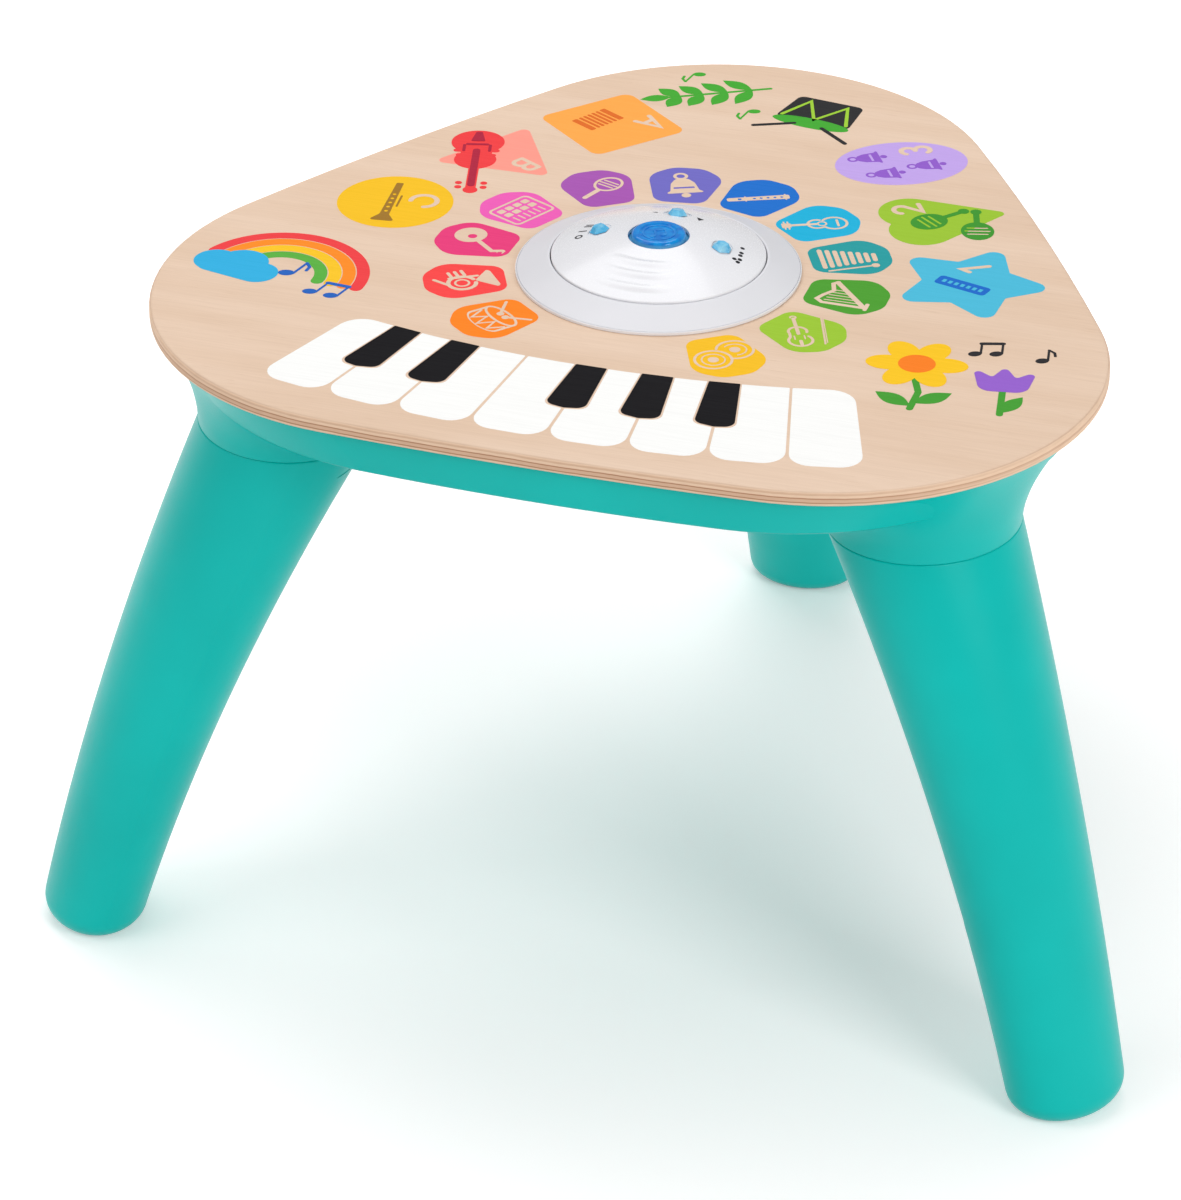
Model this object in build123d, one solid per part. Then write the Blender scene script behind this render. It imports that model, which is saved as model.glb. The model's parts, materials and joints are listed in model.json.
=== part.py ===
from build123d import *
import math
import os

# Toddler activity table. A printed plywood top with a sound hub in its middle sits on a
# moulded frame, and three curved hollow legs push up into the frame's corner sockets.
# Everything is drawn about the hub's axis with the floor at Z = 0 and the keyboard side
# towards -Y, and is moved at the end so that the origin is under the middle of the table.

# Plywood top: three corner arcs joined by slightly bowed sides
TABLE_HEIGHT = 365.0
TOP_THICKNESS = 8.5
TOP_EDGE_ROUND = 2.2
TOP_CORNER_CENTRE = 121.2
TOP_CORNER_RADIUS = 148.8
TOP_SIDE = 212.3
CORNER_ANGLES = {"rear": 90.0, "front_left": 210.0, "front_right": 330.0}

# Moulded frame: a pan with a tapered skirt
UNDERSIDE = TABLE_HEIGHT - TOP_THICKNESS
SKIRT_DEPTH = 24.0
SKIRT_TOP = {"centre": 117.6, "radius": 146.1, "side": 207.8}
SKIRT_FOOT = {"centre": 97.2, "radius": 151.8, "side": 203.3}
SKIRT_EDGE_ROUND = 2.5
FRAME_WALL = 2.6
FLOOR_THICKNESS = 2.5
FLOOR_Z = UNDERSIDE - SKIRT_DEPTH
FLOOR_TOP = FLOOR_Z + FLOOR_THICKNESS

# Corner sockets: each flares from the leg seam up to the skirt
SEAM_Z = 300.0
SEAM_REACH = 199.6
SEAM_RADIAL = 48.3
SEAM_TANGENT = 52.6
FLARE_REACH = 170.0
FLARE_RADIAL = 95.8
FLARE_TANGENT = 120.3
FLARE_POWER = 2.0
FLARE_STATIONS = (0.0, 0.2, 0.4, 0.6, 0.8, 1.0)
SEAM_EDGE_ROUND = 0.9
SOCKET_WALL = 3.2
SLEEVE_WALL = 2.4
SLEEVE_TOP = UNDERSIDE - 6.0
SOCKET_ROOF = 2.5
HOLLOW_START = 0.2

# Legs: horizontal ovals on a curved centre line
LEG_SPLAY = 156.5
LEG_CURL = 35.0
FOOT_RADIAL = 28.4
FOOT_TANGENT = 34.2
LEG_SLIM_RADIAL = 6.1
LEG_SLIM_TANGENT = 10.6
LEG_STATIONS = (0.0, 0.2, 0.4, 0.6, 0.8, 1.0)
LEG_WALL = 3.0
SHOULDER_SHARE = 0.03
FOOT_WALL_SHARE = 0.985
FOOT_ROUND = 11.0
NECK_HEIGHT = 42.0
NECK_GAP = 0.5

# Hub, heights from the top of the wood
HUB_HOLE = 61.5
RIM_RADIUS = 75.9
RIM_FLANGE = 1.2
RIM_LIP = 0.7
RIM_EASE = 0.3
RIM_TUBE = 60.8
RIM_TUBE_WALL = 3.0
RING_FOOT = 75.0
RING_TOP_RADIUS = 57.6
RING_TOP = 8.8
RING_THICKNESS = 2.4
RING_FOOT_FACE = 0.8
RING_LAND = 1.2
RING_GAP = 0.3
DOME_RADIUS = 57.0
DOME_EDGE = 9.6
DOME_CROWN_RADIUS = 16.4
DOME_CROWN = 20.2
DOME_WALL = 2.0
DOME_SWELL = 1.2
DOME_EDGE_ROUND = 0.8
BUTTON_RADIUS = 14.4
BUTTON_TOP = 22.4
BUTTON_ROUND = 2.0
BUTTON_FACE_RADIUS = 9.6
BUTTON_DISH = 0.7
BUTTON_HOLE = 14.9
BUTTON_FLANGE = 18.0
BUTTON_FLANGE_TOP = 17.2
BUTTON_FLANGE_THICKNESS = 1.4
BUTTON_STEM_RADIUS = 4.0

# Slide switches in the dome
SLIDER_ANGLES = {"right": 5.0, "rear": 90.0, "left": 175.0}
SLIDER_REACH = 34.0
SLIDER_TRAVEL = 2.0
SLIDER_GAP = 0.4
NUB_LENGTH = 11.0
NUB_WIDTH = 9.8
NUB_FLAT_SHARE = 0.45
NUB_CORNER = 0.8
NUB_TOP_SHARE = 0.6
STEM_SHIFT = 0.6
NUB_HEIGHT = 2.6
NUB_LIFT = 0.4
NECK_LENGTH = 3.6
NECK_WIDTH = 2.4
KEEPER_LENGTH = 13.0
KEEPER_WIDTH = 6.0
KEEPER_THICKNESS = 1.0
KEEPER_DROP = 2.9
POCKET_LENGTH = 15.6
POCKET_WIDTH = 11.0
POCKET_DEPTH = 0.7

# Circuit board and what stands on it, heights from the top of the wood
BOARD_RADIUS = 51.0
BOARD_TOP = -2.4
BOARD_THICKNESS = 1.6
CASE_LENGTH = 12.0
CASE_WIDTH = 5.6
CASE_HEIGHT = 5.0
CASE_GROOVE = 2.6
LED_COUNT = 6
LED_REACH = 46.5
LED_SIDE = 3.0
LED_HEIGHT = 1.4
LED_OFFSET_ANGLE = 40.0
CHIP_SIDE = 12.0
CHIP_HEIGHT = 1.6
CHIP_CHAMFER = 0.3
CHIP_PLACE = (-8.0, -27.0)
PAD_FOOT_RADIUS = 9.0
PAD_TOP_RADIUS = 5.0
PAD_TOP = 8.6
PAD_LIP = 1.5
PAD_LIP_HEIGHT = 1.0
PAD_CROWN = 2.5
PAD_ROOF = 3.5
PAD_WALL = 1.0
POST_REACH = 43.0
POST_RADIUS = 3.2
POST_COUNT = 4
BOARD_SCREW_LENGTH = 5.0

# Clamp plate under the wood
PLATE_RADIUS = 71.0
PLATE_THICKNESS = 2.0
HUB_SCREW_REACH = 53.6
HUB_SCREW_COUNT = 4
HUB_SCREW_START = 45.0
HUB_SCREW_TIP_GAP = 1.0
PILOT_FLOOR = 1.0
HUB_BOSS_RADIUS = 3.6
WIRE_HOLE_RADIUS = 8.0
WIRE_HOLE_PLACE = (11.0, 29.0)

# Touch film under the wood
FILM_INSET = 36.0
FILM_THICKNESS = 0.5
FILM_HOLE = 73.0

# Loudspeaker, facing down through the floor
SPEAKER_RADIUS = 28.5
SPEAKER_FLANGE = 1.4
SPEAKER_RIM_WIDTH = 4.5
SPEAKER_NECK_RADIUS = 14.0
BASKET_DEPTH = 9.0
BASKET_WALL = 1.2
MAGNET_RADIUS = 15.5
MAGNET_DEPTH = 7.0
CONE_WALL = 0.6
CONE_GAP = 0.4
CONE_CAP_RADIUS = 8.0
CONE_CAP_SHOULDER = 1.6
CONE_CAP_TIP = 2.2
BASKET_STEP = 0.4
MAGNET_CHAMFER = 0.8
GRILLE_HOLE_RADIUS = 1.9
GRILLE_RINGS = ((0.0, 1), (6.4, 6), (12.8, 12), (19.2, 18))
SPEAKER_SCREW_COUNT = 3
SPEAKER_SCREW_START = 30.0
SPEAKER_SCREW_BITE = 1.0
SPEAKER_SCREW_REACH = 32.0
SPEAKER_BOSS_RADIUS = 3.0

# Battery bay for three cells side by side, opening through the floor
CELL_RADIUS = 7.1
CELL_LENGTH = 50.2
CELL_PITCH = 15.0
CELL_CAP_RADIUS = 2.7
CELL_CAP = 1.4
CELL_REST = 1.2
BAY_CENTRE_Y = 79.0
BAY_LENGTH = 60.0
BAY_WIDTH = 46.5
BAY_WALL = 2.0
BAY_FLANGE = 4.0
BAY_LOCK = 10.0
BAY_ROOF_Z = UNDERSIDE - 3.0
DOOR_THICKNESS = 2.2
DOOR_GAP = 0.4
DOOR_CORNER = 3.0
DOOR_WEB = 1.0
DOOR_RIB_COUNT = 7
DOOR_RIB_PITCH = 4.8
DOOR_RIB = (30.0, 1.2, 0.6)
DOOR_HEAD_GAP = 0.3
DOOR_HEAD_INSET = 0.2
DOOR_SCREW_LENGTH = 9.0
LOCK_PILOT_GAP = 0.4
CONTACT_THICKNESS = 0.5
CONTACT_SIDE = 10.0

# Screws
SCREW_SHANK = 1.45
SCREW_HEAD = 2.9
SCREW_HEAD_HEIGHT = 2.0
SCREW_GAP = 0.1
CROSS_SLOT = (3.2, 0.9, 1.0)
FRAME_BOSS_RADIUS = 5.0
FRAME_BOSS_BORE = 3.4
FRAME_BOSS_WEB = 4.0
FRAME_SCREW_SIDE = 188.0
FRAME_SCREW_OFFSET = 78.0
FRAME_SCREW_BITE = 6.0
FRAME_SCREW_TIP_GAP = 0.5

# Inner wiring
LEAD_RADIUS = 0.9
LEAD_BEND = 2.6
LEAD_LEVEL = UNDERSIDE - 7.0
SPEAKER_LEAD_PLACES = ((13.0, 23.6), (8.2, 25.7))
BATTERY_LEAD_STARTS = (62.0, 66.0)
BATTERY_LEAD_TURNS = (31.0, 35.0)
BATTERY_LEAD_ENDS = ((5.4, 31.1), (16.6, 26.9))
TAIL_WIDTH = 9.0
TAIL_THICKNESS = 0.4
TAIL_START = 78.0
TAIL_DROP = 2.1


def turned(*points):
    """Solid turned about the hub axis from an outline of (radius, height) points."""
    return revolve(Plane.XZ * make_face(Polyline(*points, close=True)), Axis.Z)


def at_corner(angle, shape):
    """A shape drawn along +X, turned to one of the table's corners."""
    return Rot(0, 0, angle) * shape


def rounded_triangle(centre, radius, side):
    """Face with three corner arcs and three bowed sides, tangent where they meet."""
    reach = side - centre / 2
    bow = (0.75 * centre**2 + reach**2 - radius**2) / (2 * (reach - radius))
    side_way = Vector(1, 0).rotate(Axis.Z, 60)
    bow_centre = side_way * (side - bow)
    joint = bow_centre + (Vector(centre, 0) - bow_centre).normalized() * bow
    mirror_joint = Vector(joint.X, -joint.Y)
    tip = Vector(centre + radius, 0)
    corner = ThreePointArc(mirror_joint, tip, joint)
    bowed_side = ThreePointArc(joint, side_way * side, mirror_joint.rotate(Axis.Z, 120))
    edges = []
    for angle in CORNER_ANGLES.values():
        edges += [Rot(0, 0, angle) * corner, Rot(0, 0, angle) * bowed_side]
    return make_face(edges)


def top_outline(inset):
    """The top's outline drawn in by an even margin."""
    return rounded_triangle(TOP_CORNER_CENTRE, TOP_CORNER_RADIUS - inset, TOP_SIDE - inset)


def ring_places(count, reach, start=0.0):
    """Points spaced evenly round the hub."""
    step = 360.0 / count
    return [Vector(reach, 0).rotate(Axis.Z, start + step * k) for k in range(count)]


def frame_screw_places():
    """Two screws along each side of the table."""
    places = []
    for angle in CORNER_ANGLES.values():
        for offset in (-FRAME_SCREW_OFFSET, FRAME_SCREW_OFFSET):
            places.append(Vector(FRAME_SCREW_SIDE, offset).rotate(Axis.Z, angle + 60))
    return places


def hub_screw_places():
    """Screws that clamp the hub to the wood."""
    return ring_places(HUB_SCREW_COUNT, HUB_SCREW_REACH, HUB_SCREW_START)


def speaker_screw_places():
    """Screws round the loudspeaker's rim."""
    return ring_places(SPEAKER_SCREW_COUNT, SPEAKER_SCREW_REACH, SPEAKER_SCREW_START)


def column(place, radius, low, high):
    """Upright round bar."""
    return Pos(place.X, place.Y, low) * Cylinder(
        radius, high - low, align=(Align.CENTER, Align.CENTER, Align.MIN)
    )


def block(length, width, low, high, x=0.0, y=0.0):
    """Upright box centred on a point."""
    return Pos(x, y, low) * Box(
        length, width, high - low, align=(Align.CENTER, Align.CENTER, Align.MIN)
    )


def screw(place, head_z, tip_z):
    """Pan-head screw driven upwards from head_z, with a cross slot."""
    head = column(place, SCREW_HEAD, head_z - SCREW_HEAD_HEIGHT, head_z)
    shank = column(place, SCREW_SHANK, head_z, tip_z)
    length, width, depth = CROSS_SLOT
    low = head_z - SCREW_HEAD_HEIGHT
    slot = block(length, width, low, low + depth, place.X, place.Y)
    cross = block(width, length, low, low + depth, place.X, place.Y)
    return head + shank - slot - cross


def screw_down(place, head_z, tip_z):
    """Pan-head screw driven downwards from head_z."""
    head = column(place, SCREW_HEAD, head_z, head_z + SCREW_HEAD_HEIGHT)
    return head + column(place, SCREW_SHANK, tip_z, head_z)


def wood_top():
    """Plywood panel with eased edges, the hub's hole and blind screw pilots."""
    panel = extrude(Pos(0, 0, UNDERSIDE) * top_outline(0), TOP_THICKNESS)
    rims = panel.edges().filter_by(Plane.XY)
    panel = fillet(rims, TOP_EDGE_ROUND)
    panel -= column(Vector(0, 0), HUB_HOLE, UNDERSIDE, TABLE_HEIGHT)
    for place in frame_screw_places():
        panel -= column(place, SCREW_SHANK + SCREW_GAP, UNDERSIDE, UNDERSIDE + FRAME_SCREW_BITE)
    return panel


def touch_film():
    """Thin sensor sheet on the underside of the wood, clear of the hub's clamp plate."""
    sheet = extrude(Pos(0, 0, UNDERSIDE - FILM_THICKNESS) * top_outline(FILM_INSET), FILM_THICKNESS)
    return sheet - column(Vector(0, 0), FILM_HOLE, UNDERSIDE - FILM_THICKNESS, UNDERSIDE)


def flare_oval(share, inset):
    """One level of a corner socket, from the leg seam (0) to the underside of the wood (1)."""
    blend = share**FLARE_POWER
    reach = SEAM_REACH + (FLARE_REACH - SEAM_REACH) * blend
    radial = SEAM_RADIAL + (FLARE_RADIAL - SEAM_RADIAL) * blend
    tangent = SEAM_TANGENT + (FLARE_TANGENT - SEAM_TANGENT) * blend
    height = SEAM_Z + (UNDERSIDE - SEAM_Z) * share
    return Pos(reach, 0, height) * Ellipse(radial - inset, tangent - inset)


def flare_loft(inset, start):
    """Concave round-cornered body through the levels of a corner socket."""
    shares = [start] + [s for s in FLARE_STATIONS if s > start]
    return loft([flare_oval(share, inset) for share in shares])


def flare():
    """Outside of a corner socket, eased where the leg meets it."""
    body = flare_loft(0, 0)
    return fillet(body.faces().sort_by(Axis.Z)[0].edges(), SEAM_EDGE_ROUND)


def skirt(inset, low):
    """Tapered pan body from the underside of the wood down to a level."""
    fall = (UNDERSIDE - low) / SKIRT_DEPTH
    foot = {}
    for key, top_value in SKIRT_TOP.items():
        foot[key] = top_value + (SKIRT_FOOT[key] - top_value) * fall
    upper = rounded_triangle(SKIRT_TOP["centre"], SKIRT_TOP["radius"] - inset, SKIRT_TOP["side"] - inset)
    lower = rounded_triangle(foot["centre"], foot["radius"] - inset, foot["side"] - inset)
    return loft([Pos(0, 0, low) * lower, Pos(0, 0, UNDERSIDE) * upper], ruled=True)


def socket_oval(grow):
    """Section of a leg socket's bore, drawn out by a margin."""
    return Ellipse(SEAM_RADIAL - SOCKET_WALL + grow, SEAM_TANGENT - SOCKET_WALL + grow)


def socket_bore(grow, low, high):
    """Upright oval column on a leg socket's axis."""
    return extrude(Pos(SEAM_REACH, 0, low) * socket_oval(grow), high - low)


def bay_box(margin, low, high):
    """Upright box over the battery bay and its lock end, drawn out by a margin."""
    length = BAY_LENGTH + BAY_LOCK + 2 * margin
    box = block(BAY_WIDTH + 2 * margin, length, low, high, 0, BAY_CENTRE_Y + BAY_LOCK / 2)
    return fillet(box.edges().filter_by(Axis.Z), DOOR_CORNER)


def under_frame():
    """Moulded pan with skirt, sockets, screw bosses, loudspeaker grille and battery window."""
    pan = skirt(0, FLOOR_Z)
    pan = fillet(pan.faces().sort_by(Axis.Z)[0].edges(), SKIRT_EDGE_ROUND)
    for angle in CORNER_ANGLES.values():
        pan += at_corner(angle, flare())
    hollow = skirt(FRAME_WALL, FLOOR_TOP)
    for angle in CORNER_ANGLES.values():
        hollow += at_corner(angle, flare_loft(FRAME_WALL, HOLLOW_START))
    frame = pan - hollow
    for angle in CORNER_ANGLES.values():
        frame += at_corner(angle, socket_bore(SLEEVE_WALL, SEAM_Z + SLEEVE_WALL, SLEEVE_TOP))
        frame -= at_corner(angle, socket_bore(0, SEAM_Z - SLEEVE_WALL, SLEEVE_TOP - SOCKET_ROOF))
    for place in frame_screw_places():
        frame += column(place, FRAME_BOSS_RADIUS, FLOOR_Z, UNDERSIDE)
        frame -= column(place, FRAME_BOSS_BORE, FLOOR_Z, UNDERSIDE - FRAME_BOSS_WEB)
        frame -= column(place, SCREW_SHANK + SCREW_GAP, FLOOR_Z, UNDERSIDE)
    for place in speaker_screw_places():
        frame += column(place, SPEAKER_BOSS_RADIUS, FLOOR_TOP, FLOOR_TOP + SPEAKER_FLANGE)
        frame -= column(place, SCREW_SHANK + SCREW_GAP, FLOOR_Z + PILOT_FLOOR, UNDERSIDE)
    for reach, count in GRILLE_RINGS:
        for place in ring_places(count, reach):
            frame -= column(place, GRILLE_HOLE_RADIUS, FLOOR_Z, FLOOR_TOP)
    frame -= bay_box(BAY_WALL, FLOOR_Z, FLOOR_TOP)
    return frame


def leg_oval(share, inset):
    """One level of a leg, from the seam (0) to the floor (1)."""
    belly = share * (1 - share)
    reach = SEAM_REACH + LEG_SPLAY * share - LEG_CURL * share**2
    radial = SEAM_RADIAL + (FOOT_RADIAL - SEAM_RADIAL) * share - LEG_SLIM_RADIAL * belly
    tangent = SEAM_TANGENT + (FOOT_TANGENT - SEAM_TANGENT) * share - LEG_SLIM_TANGENT * belly
    return Pos(reach, 0, SEAM_Z * (1 - share)) * Ellipse(radial - inset, tangent - inset)


def foot_hollow():
    """Lower end of a leg's hollow, rounded like the foot."""
    ends = (LEG_STATIONS[-2], FOOT_WALL_SHARE)
    low = loft([leg_oval(share, LEG_WALL) for share in ends], ruled=True)
    return fillet(low.faces().sort_by(Axis.Z)[0].edges(), FOOT_ROUND - LEG_WALL)


def leg():
    """Hollow curved leg with an open neck that plugs into a socket, drawn along +X."""
    body = loft([leg_oval(share, 0) for share in LEG_STATIONS])
    foot_rim = body.faces().sort_by(Axis.Z)[0].edges()
    body = fillet(foot_rim, FOOT_ROUND)
    seam_rim = body.faces().sort_by(Axis.Z)[-1].edges()
    body = fillet(seam_rim, SEAM_EDGE_ROUND)
    neck_top = SEAM_Z + NECK_HEIGHT
    body += socket_bore(-NECK_GAP, SEAM_Z - LEG_WALL, neck_top)
    hollow = (SHOULDER_SHARE,) + LEG_STATIONS[1:-1]
    body -= loft([leg_oval(share, LEG_WALL) for share in hollow])
    body -= foot_hollow()
    return body - socket_bore(-NECK_GAP - LEG_WALL, SEAM_Z * (1 - 2 * SHOULDER_SHARE), neck_top)


def hub_rim():
    """White flange on the wood, with a tube through the hole and screw bosses."""
    top = TABLE_HEIGHT
    rim = turned(
        (RIM_TUBE - RIM_TUBE_WALL, UNDERSIDE),
        (RIM_TUBE, UNDERSIDE),
        (RIM_TUBE, top),
        (RIM_RADIUS - RIM_EASE, top),
        (RIM_RADIUS, top + RIM_EASE),
        (RIM_RADIUS, top + RIM_FLANGE + RIM_LIP - RIM_EASE),
        (RIM_RADIUS - RIM_EASE, top + RIM_FLANGE + RIM_LIP),
        (RING_FOOT + RING_GAP, top + RIM_FLANGE + RIM_LIP),
        (RING_FOOT + RING_GAP, top + RIM_FLANGE),
        (RIM_TUBE - RIM_TUBE_WALL, top + RIM_FLANGE),
    )
    for place in hub_screw_places():
        boss = column(place, HUB_BOSS_RADIUS, UNDERSIDE, top + RIM_FLANGE)
        web = block(RIM_TUBE - HUB_SCREW_REACH, 2 * SCREW_SHANK, UNDERSIDE, top + RIM_FLANGE)
        middle = place.normalized() * (HUB_SCREW_REACH + RIM_TUBE - RIM_TUBE_WALL / 2) / 2
        angle = math.degrees(math.atan2(place.Y, place.X))
        rim += boss + Pos(middle.X, middle.Y, 0) * Rot(0, 0, angle) * web
    for place in hub_screw_places():
        rim -= column(place, SCREW_SHANK + SCREW_GAP, UNDERSIDE, top)
    return rim


def hub_ring():
    """Sloped grey light ring that rises from the rim to the dome."""
    low = TABLE_HEIGHT + RIM_FLANGE
    high = TABLE_HEIGHT + RING_TOP
    return turned(
        (RING_FOOT, low),
        (RING_FOOT, low + RING_FOOT_FACE),
        (RING_TOP_RADIUS + RING_LAND, high),
        (RING_TOP_RADIUS, high),
        (RING_TOP_RADIUS, high - RING_THICKNESS),
        (RING_FOOT - 2 * RING_THICKNESS, low),
    )


def dome_height(radius):
    """Height of the dome's skin above the wood: a straight slope with an even swell."""
    run = DOME_RADIUS - DOME_CROWN_RADIUS
    share = (DOME_RADIUS - radius) / run
    return DOME_EDGE + (DOME_CROWN - DOME_EDGE) * share + 4 * DOME_SWELL * share * (1 - share)


def dome_arc(outer, inner, drop):
    """Line of the dome's skin between two radii, drawn down by a margin."""
    radii = (outer, (outer + inner) / 2, inner)
    return ThreePointArc(*[(radius, TABLE_HEIGHT + dome_height(radius) - drop) for radius in radii])


def slider_plane(angle):
    """Plane on the dome at a switch: X along the slide, Z out of the dome."""
    slope = math.atan((DOME_CROWN - DOME_EDGE) / (DOME_RADIUS - DOME_CROWN_RADIUS))
    height = TABLE_HEIGHT + dome_height(SLIDER_REACH)
    place = Vector(SLIDER_REACH, 0, height).rotate(Axis.Z, angle)
    way = Vector(0, 1, 0).rotate(Axis.Z, angle)
    out = Vector(math.sin(slope), 0, math.cos(slope)).rotate(Axis.Z, angle)
    return Plane(origin=place, x_dir=way, z_dir=out)


def slot_column(plane, length, width, low, high):
    """Round-ended column through the dome at a switch."""
    outline = SlotOverall(length, width)
    return extrude(plane * Pos(0, 0, low) * outline, high - low)


def hub_dome():
    """White domed cap with a button hole and three switch slots, standing on the rim."""
    low = TABLE_HEIGHT + RIM_FLANGE
    skin = dome_arc(DOME_RADIUS, DOME_CROWN_RADIUS, 0)
    lining = dome_arc(DOME_RADIUS - DOME_WALL, DOME_CROWN_RADIUS, DOME_WALL)
    crown = Line(skin @ 1, lining @ 1)
    foot = Polyline(lining @ 0, ((lining @ 0).X, low), (DOME_RADIUS, low), skin @ 0)
    dome = revolve(Plane.XZ * make_face([skin, crown, lining, foot]), Axis.Z)
    edge = dome.edges().filter_by(GeomType.CIRCLE).sort_by(Axis.Z)
    edge = edge.filter_by(lambda rim: abs(rim.radius - DOME_RADIUS) < RIM_EASE)[-1]
    dome = fillet(edge, DOME_EDGE_ROUND)
    dome -= column(Vector(0, 0), BUTTON_HOLE, low, TABLE_HEIGHT + BUTTON_TOP)
    slot_length = NECK_LENGTH + 2 * (SLIDER_TRAVEL + SLIDER_GAP)
    slot_width = NECK_WIDTH + 2 * SLIDER_GAP
    for angle in SLIDER_ANGLES.values():
        plane = slider_plane(angle)
        dome -= slot_column(plane, POCKET_LENGTH, POCKET_WIDTH, -POCKET_DEPTH, NUB_HEIGHT)
        dome -= slot_column(plane, slot_length, slot_width, -2 * DOME_WALL, NUB_HEIGHT)
    return dome


def play_button():
    """Dished button cap with a keeper flange and a stem down to the key pad."""
    top = TABLE_HEIGHT + BUTTON_TOP
    flange_top = TABLE_HEIGHT + BUTTON_FLANGE_TOP
    flange_low = flange_top - BUTTON_FLANGE_THICKNESS
    button = turned(
        (0, TABLE_HEIGHT + PAD_TOP),
        (BUTTON_STEM_RADIUS, TABLE_HEIGHT + PAD_TOP),
        (BUTTON_STEM_RADIUS, flange_low),
        (BUTTON_FLANGE, flange_low),
        (BUTTON_FLANGE, flange_top),
        (BUTTON_RADIUS, flange_top),
        (BUTTON_RADIUS, top),
        (BUTTON_FACE_RADIUS + BUTTON_DISH, top),
        (BUTTON_FACE_RADIUS, top - BUTTON_DISH),
        (0, top - BUTTON_DISH),
    )
    rims = button.edges().filter_by(GeomType.CIRCLE).group_by(Axis.Z)[-1]
    return fillet(rims.sort_by(lambda rim: rim.radius)[-1], BUTTON_ROUND)


def nub_outline(share):
    """Long six-sided outline with eased corners, scaled by a share."""
    tip, side = NUB_LENGTH / 2 * share, NUB_WIDTH / 2 * share
    flat = NUB_FLAT_SHARE * tip
    points = [(tip, 0), (flat, side), (-flat, side), (-tip, 0), (-flat, -side), (flat, -side)]
    outline = make_face(Polyline(*points, close=True))
    return fillet(outline.vertices(), NUB_CORNER)


def slider(angle):
    """Gem-like nub on a neck, with a keeper under the dome and a stem into its switch."""
    plane = slider_plane(angle)
    foot = Pos(0, 0, NUB_LIFT - POCKET_DEPTH) * nub_outline(1)
    head = Pos(0, 0, NUB_HEIGHT) * nub_outline(NUB_TOP_SHARE)
    nub = plane * loft([foot, head], ruled=True)
    hung = (Align.CENTER, Align.CENTER, Align.MAX)
    neck = extrude(SlotOverall(NECK_LENGTH, NECK_WIDTH), -KEEPER_DROP - NUB_LIFT)
    keeper = Box(KEEPER_LENGTH, KEEPER_WIDTH, KEEPER_THICKNESS, align=hung)
    low = TABLE_HEIGHT + BOARD_TOP + CASE_HEIGHT - CASE_GROOVE + SLIDER_GAP
    high = (plane * Pos(0, 0, -KEEPER_DROP)).position.Z
    stem = Rot(0, 0, angle) * block(NECK_WIDTH, NECK_WIDTH, low, high, SLIDER_REACH - STEM_SHIFT)
    body = nub + plane * neck + plane * Pos(0, 0, -KEEPER_DROP) * keeper
    return body + stem


def main_board():
    """Round circuit board, notched round the hub bosses."""
    low = TABLE_HEIGHT + BOARD_TOP - BOARD_THICKNESS
    high = TABLE_HEIGHT + BOARD_TOP
    board = column(Vector(0, 0), BOARD_RADIUS, low, high)
    for place in hub_screw_places():
        board -= column(place, HUB_BOSS_RADIUS + SLIDER_GAP, low, high)
    for place in ring_places(POST_COUNT, POST_REACH):
        board -= column(place, SCREW_SHANK + SCREW_GAP, low, high)
    return board


def switch_cases():
    """Slide switch bodies on the board, each with a groove for its slider's stem."""
    low = TABLE_HEIGHT + BOARD_TOP
    cases = []
    for angle in SLIDER_ANGLES.values():
        case = block(CASE_WIDTH, CASE_LENGTH, low, low + CASE_HEIGHT)
        groove_length = NECK_WIDTH + 2 * (SLIDER_TRAVEL + SLIDER_GAP)
        groove_width = NECK_WIDTH + 2 * SLIDER_GAP
        case -= block(groove_width, groove_length, low + CASE_HEIGHT - CASE_GROOVE, low + CASE_HEIGHT)
        cases.append(Rot(0, 0, angle) * Pos(SLIDER_REACH - STEM_SHIFT, 0, 0) * case)
    return Compound(cases)


def board_leds():
    """Lights round the board's edge."""
    low = TABLE_HEIGHT + BOARD_TOP
    leds = []
    for k in range(LED_COUNT):
        led = block(LED_SIDE, LED_SIDE, low, low + LED_HEIGHT, LED_REACH)
        leds.append(Rot(0, 0, LED_OFFSET_ANGLE / 2 + 360 / LED_COUNT * k) * led)
    return Compound(leds)


def sound_chip():
    """Controller chip on the board."""
    low = TABLE_HEIGHT + BOARD_TOP
    chip = block(CHIP_SIDE, CHIP_SIDE, low, low + CHIP_HEIGHT, *CHIP_PLACE)
    return chamfer(chip.edges().group_by(Axis.Z)[-1], CHIP_CHAMFER)


def button_pad():
    """Hollow rubber key pad under the button."""
    low = TABLE_HEIGHT + BOARD_TOP
    high = TABLE_HEIGHT + PAD_TOP
    return turned(
        (PAD_FOOT_RADIUS - PAD_LIP, low),
        (PAD_FOOT_RADIUS + PAD_LIP, low),
        (PAD_FOOT_RADIUS + PAD_LIP, low + PAD_LIP_HEIGHT),
        (PAD_FOOT_RADIUS, low + PAD_LIP_HEIGHT),
        (PAD_TOP_RADIUS, high - PAD_CROWN),
        (PAD_TOP_RADIUS, high),
        (0, high),
        (0, high - PAD_ROOF),
        (PAD_TOP_RADIUS - PAD_WALL, high - PAD_ROOF),
    )


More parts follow.
